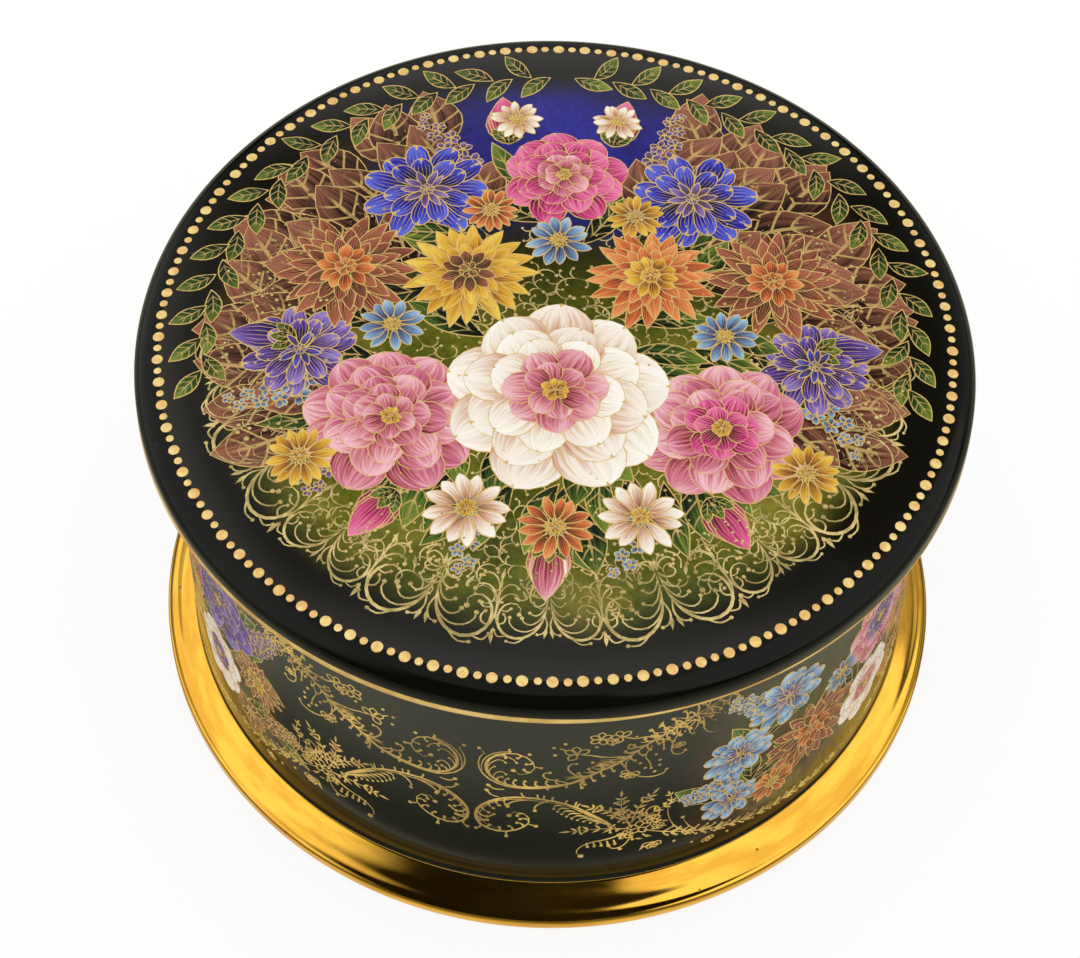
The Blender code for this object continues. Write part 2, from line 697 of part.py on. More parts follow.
def build_winder(axis):
    """What turns with the key: arbor, key, clutch spring, crown wheel and its nut."""
    neck_z = KEY_ROOM - 2 * SEAT
    shoulder_z = WEB_Z - SEAT
    arbor = lathe(
        [
            (0, KEY_GROUND + KEY_END_T), (ARBOR_NECK_R, KEY_GROUND + KEY_END_T),
            (ARBOR_NECK_R, neck_z), (ARBOR_R, neck_z), (ARBOR_R, shoulder_z),
            (ARBOR_NECK_R, shoulder_z), (ARBOR_NECK_R, NUT_TOP), (0, NUT_TOP + SEAT),
        ],
        MID // 2,
    )
    finish("winding_arbor", arbor, "steel", parent=axis)

    key_top = neck_z - SEAT
    lobe_z = KEY_GROUND + KEY_LOBE_R
    lobe_x = KEY_SPAN - KEY_LOBE_R
    right = arc(lobe_x, lobe_z, KEY_LOBE_R, -120, 120, 11)
    left = [(-x, z) for x, z in reversed(right)]
    waist = 0.62 * KEY_LOBE_R
    middle_low = [(0, lobe_z - waist)]
    middle_high = [(0, lobe_z + waist)]
    wings = prism(middle_low + right + middle_high + left, -KEY_T / 2, KEY_T / 2)
    wings.transform(ALONG_Y)
    key = finish("winding_key", wings, "nickel", parent=axis)
    hub = lathe(
        [
            (0, KEY_GROUND), (KEY_HUB_R - 1.5 * EDGE_BREAK, KEY_GROUND),
            (KEY_HUB_R, KEY_GROUND + 1.5 * EDGE_BREAK),
            (KEY_HUB_R, key_top - EDGE_ROUND), (KEY_HUB_R - EDGE_ROUND, key_top), (0, key_top),
        ],
        MID // 2,
    )
    boolean(key, hub, "add_key_hub", "UNION")
    eyes = join(*[rod(0.4 * KEY_LOBE_R, -2 * KEY_T, 2 * KEY_T, SMALL, s * lobe_x, lobe_z)
                  for s in (-1, 1)])
    eyes.transform(ALONG_Y)
    socket = rod(ARBOR_NECK_R + SEAT, KEY_GROUND + KEY_END_T - SEAT, key_top + MM, MID // 2)
    boolean(key, join(eyes, socket), "cut_key_eyes")

    clutch_r = ARBOR_R + SEAT + CLUTCH_WIRE / 2
    low = BARREL_TOP + SEAT + CLUTCH_WIRE / 2
    high = WEB_Z - RUN - CLUTCH_WIRE / 2
    wire("clutch_spring", coil(0, 0, low, high, clutch_r, CLUTCH_TURNS, 10),
         min(CLUTCH_WIRE, 0.8 * (high - low) / CLUTCH_TURNS) / 2, "steel", parent=axis)

    crown = finish("crown_wheel", crown_bmesh(), "brass", parent=axis)
    bore = rod(ARBOR_NECK_R + SEAT, WEB_Z - MM, HUB_TOP + MM, MID // 2)
    boolean(crown, bore, "cut_crown_bore")
    nut = prism(circle(0, 0, NUT_R, 6), NUT_Z, NUT_TOP)
    nut_ob = finish("crown_nut", nut, "steel", parent=axis)
    boolean(nut_ob, rod(ARBOR_NECK_R + SEAT, NUT_Z - MM, NUT_TOP + MM, MID // 2), "cut_nut_bore")


def crown_bmesh():
    """A contrate wheel: a web and hub, with teeth standing down from the rim."""
    bm = bmesh.new()
    step = 2 * math.pi / CROWN_TEETH
    shares = (0.48, 0.26)
    top_in, top_out, low_in, low_out = [], [], [], []

    def vert(r, a, z):
        return bm.verts.new((r * math.cos(a), r * math.sin(a), z))

    for k in range(CROWN_TEETH):
        mid = step * (k + 0.5)
        start = mid - step / 2
        top_out.append(vert(CROWN_OUT, start, WEB_TOP))
        top_in.append(vert(CROWN_HUB_R, start, WEB_TOP))
        row_in = [vert(CROWN_IN, start, CROWN_ROOT_Z)]
        row_out = [vert(CROWN_OUT, start, CROWN_ROOT_Z)]
        for side, share, z in ((-1, shares[0], CROWN_ROOT_Z), (-1, shares[1], CROWN_TIP_Z),
                               (1, shares[1], CROWN_TIP_Z), (1, shares[0], CROWN_ROOT_Z)):
            a = mid + side * share * step / 2
            row_in.append(vert(CROWN_IN, a, z))
            row_out.append(vert(CROWN_OUT, a, z))
        low_in.append(row_in)
        low_out.append(row_out)
    eave_in = [vert(CROWN_IN - EDGE_ROUND, step * k, WEB_Z) for k in range(CROWN_TEETH)]
    hub_low = [vert(CROWN_HUB_R, step * k, WEB_Z) for k in range(CROWN_TEETH)]
    hub_top = [vert(CROWN_HUB_R, step * k, HUB_TOP) for k in range(CROWN_TEETH)]
    for k in range(CROWN_TEETH):
        n = (k + 1) % CROWN_TEETH
        row_in = low_in[k] + [low_in[n][0]]
        row_out = low_out[k] + [low_out[n][0]]
        for i in range(len(row_in) - 1):
            bm.faces.new((row_in[i], row_in[i + 1], row_out[i + 1], row_out[i]))
        bm.faces.new([top_out[k]] + row_out + [top_out[n]])
        bm.faces.new([eave_in[n]] + list(reversed(row_in)) + [eave_in[k]])
        bm.faces.new((top_out[k], top_out[n], top_in[n], top_in[k]))
        bm.faces.new((eave_in[k], hub_low[k], hub_low[n], eave_in[n]))
        bm.faces.new((top_in[k], top_in[n], hub_top[n], hub_top[k]))
    bm.faces.new(hub_low)
    bm.faces.new(hub_top)
    return bm


def build_cylinder(axis):
    """The pinned brass cylinder on its arbor, with its pinion and great wheel."""
    inside = DRUM_R - DRUM_WALL
    tube = lathe(
        [(inside, DRUM_X0), (DRUM_R, DRUM_X0), (DRUM_R, DRUM_X1), (inside, DRUM_X1)],
        DRUM_SIDES,
    )
    place = Matrix.Translation((0, 0, AXIS_Z)) @ ALONG_X
    drum = finish("cylinder_drum", tube, "brass", parent=axis, matrix=place)
    pins = []
    for track in range(TRACKS):
        x = DRUM_X0 + DRUM_END + TRACK_PITCH * (track + 0.5)
        for k in range(PINS_PER_TRACK - track % 2):
            turn = (track * 7 + k * 11 + (track * k) % 5) % DRUM_SIDES
            pin = bmesh.new()
            depth = PIN_H + 0.5 * DRUM_WALL
            bmesh.ops.create_cone(pin, cap_ends=True, segments=4, radius1=PIN_R,
                                  radius2=0.8 * PIN_R, depth=depth)
            pin.transform(Matrix.Translation((0, 0, SWEEP_R - depth / 2)))
            pin.transform(Matrix.Rotation(2 * math.pi * (turn + 0.5) / DRUM_SIDES, 4, "X"))
            pin.transform(Matrix.Translation((x, 0, AXIS_Z)))
            pins.append(pin)
    boolean(drum, join(*pins), "add_pins", "UNION")

    def collar(r_in, r_out, x0, x1, name, steps=MID):
        ring = lathe([(r_in, x0), (r_out, x0), (r_out, x1), (r_in, x1)], steps)
        return finish(name, ring, "brass", parent=axis, matrix=place)

    hub = CYL_ARBOR_R + RUN
    collar(hub, inside - RUN, DRUM_X0, DRUM_X0 + CAP_T, "cylinder_cap_inner")
    collar(hub, inside - RUN, DRUM_X1 - CAP_T, DRUM_X1, "cylinder_cap_outer")
    arbor = lathe([(0, PINION_X0), (CYL_ARBOR_R, PINION_X0), (CYL_ARBOR_R, OUTER_X1),
                   (0, OUTER_X1)], SMALL)
    finish("cylinder_arbor", arbor, "steel", parent=axis, matrix=place)

    pinion = prism(
        gear_outline(PINION_TEETH, PINION_R, CROWN_ADDENDUM, CROWN_DEDENDUM,
                     (0.46, 0.33, 0.16), 90),
        PINION_X0, PINION_X1,
    )
    pinion_ob = finish("cylinder_pinion", pinion, "brass", parent=axis, matrix=place)
    bore = rod(hub, PINION_X0 - MM, PINION_X1 + MM, SMALL)
    bore.transform(place)
    boolean(pinion_ob, bore, "cut_pinion_bore")

    wheel = prism(
        gear_outline(GREAT_TEETH, GREAT_R, 0.95 * TRAIN_MODULE, 1.2 * TRAIN_MODULE,
                     (0.5, 0.36, 0.2), 180 - GOV_RISE_DEG),
        GREAT_X0, GREAT_X1,
    )
    great = finish("great_wheel", wheel, "brass", parent=axis, matrix=place)
    holes = [rod(hub, GREAT_X0 - MM, GREAT_X1 + MM, SMALL)]
    for k in range(4):
        a = math.radians(45 + 90 * k)
        holes.append(rod(0.24 * GREAT_R, GREAT_X0 - MM, GREAT_X1 + MM, TINY,
                         0.58 * GREAT_R * math.cos(a), 0.58 * GREAT_R * math.sin(a)))
    holes = join(*holes)
    holes.transform(place)
    boolean(great, holes, "cut_great_holes")


def build_outer_bearing():
    """The bracket that carries the cylinder arbor's outer end, and its screw."""
    w = POST_W / 2
    foot_y = OUTER_SCREW[1] + PAD_R
    upright = prism(
        [(-w, FRAME_Z), (foot_y, FRAME_Z), (foot_y, FRAME_Z + FRAME_T), (w, FRAME_Z + 2.2 * FRAME_T),
         (w, AXIS_Z)] + arc(0, AXIS_Z, w, 30, 150, 7) + [(-w, AXIS_Z)],
        OUTER_X0, OUTER_X1,
    )
    upright.transform(ALONG_X)
    bracket = finish("bearing_outer", upright, "brass")
    pad = prism(
        [(OUTER_X0 + 0.5 * POST_T, w - EDGE_BREAK), (OUTER_SCREW[0] + PAD_R, w - EDGE_BREAK),
         (OUTER_SCREW[0] + PAD_R, foot_y - 0.5 * EDGE_BREAK),
         (OUTER_X0 + 0.5 * POST_T, foot_y - 0.5 * EDGE_BREAK)],
        FRAME_Z, FRAME_TOP,
    )
    boolean(bracket, pad, "add_bearing_foot", "UNION")
    bore = rod(CYL_ARBOR_R + RUN, OUTER_X0 - MM, OUTER_X1 + MM, SMALL)
    bore.transform(Matrix.Translation((0, 0, AXIS_Z)) @ ALONG_X)
    hole = rod(SCREW_R * SMALL_SCREW_SCALE + SEAT, FRAME_Z - MM, FRAME_TOP + MM, SMALL, *OUTER_SCREW)
    boolean(bracket, join(bore, hole), "cut_bearing_holes")
    slotted_screw("bearing_screw", *OUTER_SCREW, FRAME_TOP + SEAT,
                  FRAME_T + SEAT + 0.7 * BED_T, SMALL_SCREW_SCALE)


def build_comb():
    """The steel comb: 18 tuned teeth, bass side with lead weights, on two screws."""
    pitch = TRACK_PITCH
    x0 = DRUM_X0 + DRUM_END
    points = [(DRUM_X1, COMB_ROOT_Y), (DRUM_X1, COMB_BACK_Y), (DRUM_X0, COMB_BACK_Y),
              (DRUM_X0, COMB_ROOT_Y)]
    for k in range(TRACKS):
        length = BASS_LENGTH + (TREBLE_LENGTH - BASS_LENGTH) * k / (TRACKS - 1)
        root = COMB_TIP_Y + length
        left = x0 + pitch * k + TOOTH_GAP / 2
        right = x0 + pitch * (k + 1) - TOOTH_GAP / 2
        nib = 0.18 * (right - left)
        points += [(left, root), (left + nib, COMB_TIP_Y), (right - nib, COMB_TIP_Y), (right, root)]
    comb = finish("comb", prism(points, COMB_Z0, COMB_Z1), "steel", smooth=20)
    leads = []
    for k in range(LEAD_COUNT):
        left = x0 + pitch * k + 0.35 * pitch
        right = left + 0.3 * pitch
        reach = COMB_TIP_Y + (0.34 - 0.03 * k) * BASS_LENGTH
        near = COMB_TIP_Y + 0.08 * BASS_LENGTH
        leads.append(prism([(left, near), (right, near), (right, reach), (left, reach)],
                           COMB_Z0 - LEAD_H, COMB_Z0 + 0.5 * COMB_T))
    boolean(comb, join(*leads), "add_leads", "UNION")
    holes = [rod(SCREW_R + SEAT, COMB_Z0 - MM, COMB_Z1 + MM, SMALL, x, COMB_SCREW_Y)
             for x in COMB_SCREW_X]
    boolean(comb, join(*holes), "cut_comb_holes")
    for tag, x in zip("ab", COMB_SCREW_X):
        slotted_screw("comb_screw_" + tag, x, COMB_SCREW_Y, COMB_Z1 + SEAT,
                      COMB_T + SEAT + COMB_SCREW_GRIP)


def build_governor(axis, fly_axis):
    """The governor: bent frame and screw, wheel arbor, and the endless screw with its vane."""
    y0 = BACK_Y - FRAME_T
    near = GOV_Y + FRAME_REACH
    base = prism([(CHEEK_X0, y0), (CHEEK2_X1, y0), (CHEEK2_X1, near), (CHEEK_X0, near)],
                 FRAME_Z, FRAME_TOP)
    frame = finish("governor_frame", base, "brass")
    half = ARM_W / 2
    inner_z = FRAME_Z + 0.5 * FRAME_T
    arm_end = WORM_Y + ARM_REACH
    back = prism(
        [(y0, inner_z), (BACK_Y, inner_z), (BACK_Y, ARM_Z), (arm_end, ARM_Z), (arm_end, ARM_TOP),
         (y0 + EDGE_BREAK, ARM_TOP), (y0, ARM_TOP - EDGE_BREAK)],
        WORM_X - half, WORM_X + half,
    )
    back.transform(ALONG_X)
    boolean(frame, back, "add_frame_arm", "UNION")
    foot_near = near - 0.5 * EDGE_BREAK
    boss = CHEEK_BOSS
    tall_cheek = [(GOV_Y - CHEEK_FOOT, inner_z), (foot_near, inner_z), (GOV_Y + boss, GOV_Z)]
    tall_cheek += arc(GOV_Y, GOV_Z, boss, 20, 160, 7) + [(GOV_Y - boss, GOV_Z)]
    first = prism(tall_cheek, CHEEK_X0 + 0.125 * EDGE_BREAK, CHEEK_X1)
    first.transform(ALONG_X)
    boolean(frame, first, "add_first_cheek", "UNION")
    clear = WORM_Y + VANE_R + 2 * SEAT
    far_cheek = [(max(GOV_Y - 0.8 * CHEEK_FOOT, clear), inner_z), (foot_near, inner_z),
                 (GOV_Y + boss, GOV_Z)]
    far_cheek += arc(GOV_Y, GOV_Z, boss, 20, 160, 7) + [(GOV_Y - boss, GOV_Z)]
    second = prism(far_cheek, CHEEK2_X0, CHEEK2_X1 - 0.125 * EDGE_BREAK)
    second.transform(ALONG_X)
    boolean(frame, second, "add_second_cheek", "UNION")
    gov_bore = rod(GOV_ARBOR_R + RUN, CHEEK_X0 - MM, CHEEK2_X1 + MM, SMALL)
    gov_bore.transform(Matrix.Translation((0, GOV_Y, GOV_Z)) @ ALONG_X)
    pivots = rod(WORM_SHAFT_R + RUN, FRAME_Z - MM, ARM_TOP + MM, SMALL, WORM_X, WORM_Y)
    hole = rod(SCREW_R * SMALL_SCREW_SCALE + SEAT, FRAME_Z - MM, FRAME_TOP + MM, SMALL, *FRAME_SCREW)
    boolean(frame, join(gov_bore, pivots, hole), "cut_frame_bores")
    slotted_screw("governor_screw", *FRAME_SCREW, FRAME_TOP + SEAT,
                  FRAME_T + SEAT + 0.7 * BED_T, SMALL_SCREW_SCALE)

    place = Matrix.Translation((0, GOV_Y, GOV_Z)) @ ALONG_X
    shaft = rod(GOV_ARBOR_R, CHEEK_X0, CHEEK2_X1, SMALL)
    finish("governor_arbor", shaft, "steel", parent=axis, matrix=place)
    facing = 180 - GOV_RISE_DEG + 180
    pinion = prism(
        gear_outline(GOV_PINION_TEETH, GOV_PINION_R, 0.95 * TRAIN_MODULE, 1.2 * TRAIN_MODULE,
                     (0.4, 0.32, 0.14), facing + 180 / GOV_PINION_TEETH),
        CHEEK_X1 + RUN, GREAT_X1 + SEAT,
    )
    pinion_ob = finish("governor_pinion", pinion, "steel", parent=axis, matrix=place)
    bore = rod(GOV_ARBOR_R + 0.5 * RUN, CHEEK_X1 - MM, GREAT_X1 + MM, 10)
    bore.transform(place)
    boolean(pinion_ob, bore, "cut_gov_pinion_bore")
    wheel = prism(
        gear_outline(WORM_WHEEL_TEETH, WORM_WHEEL_R, WORM_ADDENDUM, WORM_DEDENDUM,
                     (0.46, 0.34, 0.2), 180),
        WHEEL_X0, WHEEL_X1,
    )
    wheel_ob = finish("governor_wheel", wheel, "nylon", parent=axis, matrix=place)
    bore = rod(GOV_ARBOR_R + RUN, WHEEL_X0 - MM, WHEEL_X1 + MM, SMALL)
    bore.transform(place)
    boolean(wheel_ob, bore, "cut_gov_wheel_bore")

    worm_shaft = lathe(
        [
            (0, FRAME_Z + 0.25 * EDGE_BREAK), (0.5 * WORM_SHAFT_R, FRAME_Z + 0.25 * EDGE_BREAK),
            (WORM_SHAFT_R, FRAME_Z + EDGE_BREAK), (WORM_SHAFT_R, VANE_TOP + SEAT),
            (WORM_R - WORM_DEDENDUM, VANE_TOP + 2 * SEAT), (WORM_R - WORM_DEDENDUM, ARM_Z - SEAT),
            (WORM_SHAFT_R, ARM_Z - SEAT), (WORM_SHAFT_R, ARM_TOP - 0.5 * EDGE_BREAK),
            (0, ARM_TOP - 0.25 * EDGE_BREAK),
        ],
        10,
    )
    at_worm = Matrix.Translation((WORM_X, WORM_Y, 0))
    worm = finish("endless_screw", worm_shaft, "steel", parent=fly_axis, matrix=at_worm)
    thread = worm_thread()
    thread.transform(at_worm)
    boolean(worm, thread, "add_worm_thread", "UNION")

    blade = []
    hub = WORM_SHAFT_R + RUN + VANE_HUB_T
    for s in (0, 1):
        turn = math.pi * s
        rows = [(hub * 0.92, -VANE_T / 2), (0.72 * VANE_R, -VANE_T / 2), (0.96 * VANE_R, 0.16 * VANE_R),
                (0.86 * VANE_R, 0.16 * VANE_R + VANE_T), (0.64 * VANE_R, VANE_T / 2),
                (hub * 0.92, VANE_T / 2)]
        rows += arc(0, 0, hub, 45, 135, 4)
        for x, y in rows:
            blade.append((x * math.cos(turn) - y * math.sin(turn),
                          x * math.sin(turn) + y * math.cos(turn)))
    vane = prism(blade, VANE_Z, VANE_TOP)
    vane_ob = finish("fly_vane", vane, "brass", parent=fly_axis, matrix=at_worm)
    boolean(vane_ob, rod(WORM_SHAFT_R + RUN, VANE_Z - MM, VANE_TOP + MM, SMALL, WORM_X, WORM_Y),
            "cut_vane_bore")


def worm_thread():
    """One right-hand start of the endless screw, with a ridge either side of the wheel's tooth."""
    per_turn = 10
    count = int(WORM_TURNS * per_turn)
    root, tip = WORM_R - WORM_DEDENDUM - 0.25 * EDGE_BREAK, WORM_R + WORM_ADDENDUM
    foot, crest = 0.26 * WORM_PITCH, 0.11 * WORM_PITCH
    first = GOV_Z - WORM_PITCH * count / per_turn / 2
    bm = bmesh.new()
    rings = []
    for i in range(count + 1):
        z = first + WORM_PITCH * i / per_turn
        # At the side that faces the wheel, +Y, the ridges lie half a pitch off the wheel's centre
        turn = math.pi / 2 + 2 * math.pi * ((z - GOV_Z) / WORM_PITCH - 0.5)
        ring = [(root, -foot), (tip, -crest), (tip, crest), (root, foot)]
        rings.append([bm.verts.new((r * math.cos(turn), r * math.sin(turn), z + dz))
                      for r, dz in ring])
    for a, b in zip(rings, rings[1:]):
        for i in range(4):
            j = (i + 1) % 4
            bm.faces.new((a[i], a[j], b[j], b[i]))
    bm.faces.new(rings[0])
    bm.faces.new(rings[-1])
    return outward(bm)


def build_stop(axis):
    """The stop: a sprung plunger through the false floor, with the wire that catches the fly."""
    bush = lathe(
        [
            (BUSH_BORE, CEILING_Z - SEAT), (BUSH_R, CEILING_Z - SEAT), (BUSH_R, FLOOR_Z + SEAT),
            (BUSH_HEAD_R, FLOOR_Z + SEAT), (BUSH_HEAD_R, FLOOR_Z + SEAT + 0.7 * BUSH_HEAD_H),
            (BUSH_HEAD_R - 0.3 * BUSH_HEAD_H, FLOOR_Z + SEAT + BUSH_HEAD_H),
            (BUSH_BORE, FLOOR_Z + SEAT + BUSH_HEAD_H),
        ],
        18,
    )
    at = Matrix.Translation((PLUNGER_X, PLUNGER_Y, 0))
    finish("plunger_bush", bush, "brass", matrix=at)
    collar_z = STOP_Z - COLLAR_H / 2
    spring_r = PLUNGER_R + RUN + PLUNGER_SPRING_WIRE / 2
    wire("plunger_spring",
         coil(PLUNGER_X, PLUNGER_Y, PLATE_TOP + SEAT + PLUNGER_SPRING_WIRE / 2,
              collar_z - SEAT - PLUNGER_SPRING_WIRE / 2, spring_r, PLUNGER_SPRING_TURNS, 8),
         PLUNGER_SPRING_WIRE / 2, "steel")
    pin = lathe(
        [
            (0, PLUNGER_Z), (PLUNGER_R, PLUNGER_Z), (PLUNGER_R, PLUNGER_TOP - 0.5 * PLUNGER_R),
            (0.6 * PLUNGER_R, PLUNGER_TOP), (0, PLUNGER_TOP),
        ],
        SMALL,
    )
    finish("plunger", pin, "brass", parent=axis, matrix=at)
    eye = lathe(
        [(PLUNGER_R + RUN, collar_z), (PLUNGER_R + EYE_W, collar_z),
         (PLUNGER_R + EYE_W, collar_z + COLLAR_H), (PLUNGER_R + RUN, collar_z + COLLAR_H)],
        MID // 2,
    )
    stop = finish("stop_wire", eye, "steel", parent=axis, matrix=at)
    start = PLUNGER_Y + PLUNGER_R + 0.625 * EYE_W
    stem = rod(STOP_WIRE_R, start, WORM_Y + STOP_TIP, 10)
    stem.transform(ALONG_Y @ Matrix.Diagonal((1, 1, -1, 1)))
    stem.transform(Matrix.Translation((STOP_X, 0, STOP_Z)))
    boolean(stop, outward(stem), "add_stop_stem", "UNION")


def main():
    """Builds the music box."""
    clear_scene()
    lid_axis = axis_empty("axis_lid", (0, 0, LID_Z))
    key_axis = axis_empty("axis_key", (0, 0, KEY_ROOM))
    cylinder_axis = axis_empty("axis_cylinder", (DRUM_X0, 0, AXIS_Z))
    governor_axis = axis_empty("axis_governor", (WHEEL_X0, GOV_Y, GOV_Z))
    fly_axis = axis_empty("axis_fly", (WORM_X, WORM_Y, FRAME_Z))
    stop_axis = axis_empty("axis_stop", (PLUNGER_X, PLUNGER_Y, PLUNGER_Z))
    build_case()
    build_lid(lid_axis)
    build_bottom_plate()
    build_bedplate()
    build_barrel()
    build_winder(key_axis)
    build_cylinder(cylinder_axis)
    build_outer_bearing()
    build_comb()
    build_governor(governor_axis, fly_axis)
    build_stop(stop_axis)
    bpy.context.view_layer.update()
    print("lid to table %.2f mm" % ((LID_FLAT_Z + LID_DOME) / MM))
    print("cylinder axis z %.3f, governor y %.3f z %.3f" % (AXIS_Z / MM, GOV_Y / MM, GOV_Z / MM))
    print("fly x %.3f y %.3f, plunger x %.3f y %.3f lift %.3f" % (
        WORM_X / MM, WORM_Y / MM, PLUNGER_X / MM, PLUNGER_Y / MM, STOP_LIFT / MM))
    print("floor z %.3f, ceiling z %.3f, rim z %.3f" % (FLOOR_Z / MM, CEILING_Z / MM, RIM_Z / MM))


main()
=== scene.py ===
import functools
import json
import logging
import math
import random
from dataclasses import dataclass, field
from enum import Enum
from typing import Callable, Iterable, Sequence

import bmesh
import bpy
import numpy as np
from mathutils import Matrix, Vector


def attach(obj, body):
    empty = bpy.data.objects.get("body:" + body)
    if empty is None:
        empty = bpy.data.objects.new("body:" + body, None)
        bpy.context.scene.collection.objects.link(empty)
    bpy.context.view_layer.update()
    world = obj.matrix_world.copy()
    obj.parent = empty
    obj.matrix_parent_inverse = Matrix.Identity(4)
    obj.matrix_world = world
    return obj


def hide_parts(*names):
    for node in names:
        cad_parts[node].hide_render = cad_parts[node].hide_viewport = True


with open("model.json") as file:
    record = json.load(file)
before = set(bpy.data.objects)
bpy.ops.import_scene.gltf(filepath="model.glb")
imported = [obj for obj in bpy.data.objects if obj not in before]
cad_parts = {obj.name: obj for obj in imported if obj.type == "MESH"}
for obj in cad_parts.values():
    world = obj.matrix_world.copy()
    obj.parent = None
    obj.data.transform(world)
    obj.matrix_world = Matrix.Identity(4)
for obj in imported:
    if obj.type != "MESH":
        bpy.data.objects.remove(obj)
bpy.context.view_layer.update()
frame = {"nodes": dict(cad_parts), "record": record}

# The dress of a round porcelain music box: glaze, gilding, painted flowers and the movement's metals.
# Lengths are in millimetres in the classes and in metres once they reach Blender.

LOG = logging.getLogger("music_box")
MM = 0.001
Colour = tuple[float, float, float]
Point = tuple[float, float]


def paint(red: int, green: int, blue: int) -> Colour:
    """A colour written as it shows on a screen, made linear.

    Args:
        red, green, blue: the screen values, 0 to 255.

    Returns:
        The linear colour.
    """
    def linear(value: int) -> float:
        """One screen value made linear."""
        x = value / 255
        return x / 12.92 if x <= 0.04045 else ((x + 0.055) / 1.055) ** 2.4
    return linear(red), linear(green), linear(blue)


def dimmed(colour: Colour, share: float) -> Colour:
    """A colour with only a share of its light left."""
    return tuple(share * c for c in colour)


# Node trees


class Signal:
    """A node's output. Arithmetic on it adds Math nodes to the tree."""

    def __init__(self, wiring: "Wiring", socket: bpy.types.NodeSocket) -> None:
        """Takes the tree's wiring and the output socket."""
        self.wiring = wiring
        self.socket = socket

    def __add__(self, other: object) -> "Signal":
        """This value plus another."""
        return self.wiring.math("ADD", self, other)

    def __sub__(self, other: object) -> "Signal":
        """This value less another."""
        return self.wiring.math("SUBTRACT", self, other)

    def __rsub__(self, other: float) -> "Signal":
        """A number less this value."""
        return self.wiring.math("SUBTRACT", other, self)

    def __mul__(self, other: object) -> "Signal":
        """This value times another."""
        return self.wiring.math("MULTIPLY", self, other)

    def __abs__(self) -> "Signal":
        """This value without its sign."""
        return self.wiring.math("ABSOLUTE", self)

    def larger(self, other: object) -> "Signal":
        """The larger of this value and another."""
        return self.wiring.math("MAXIMUM", self, other)

    def stretched(self, x: float, y: float, z: float) -> "Signal":
        """This vector with each part multiplied."""
        return self.wiring.vector("MULTIPLY", self, (x, y, z))


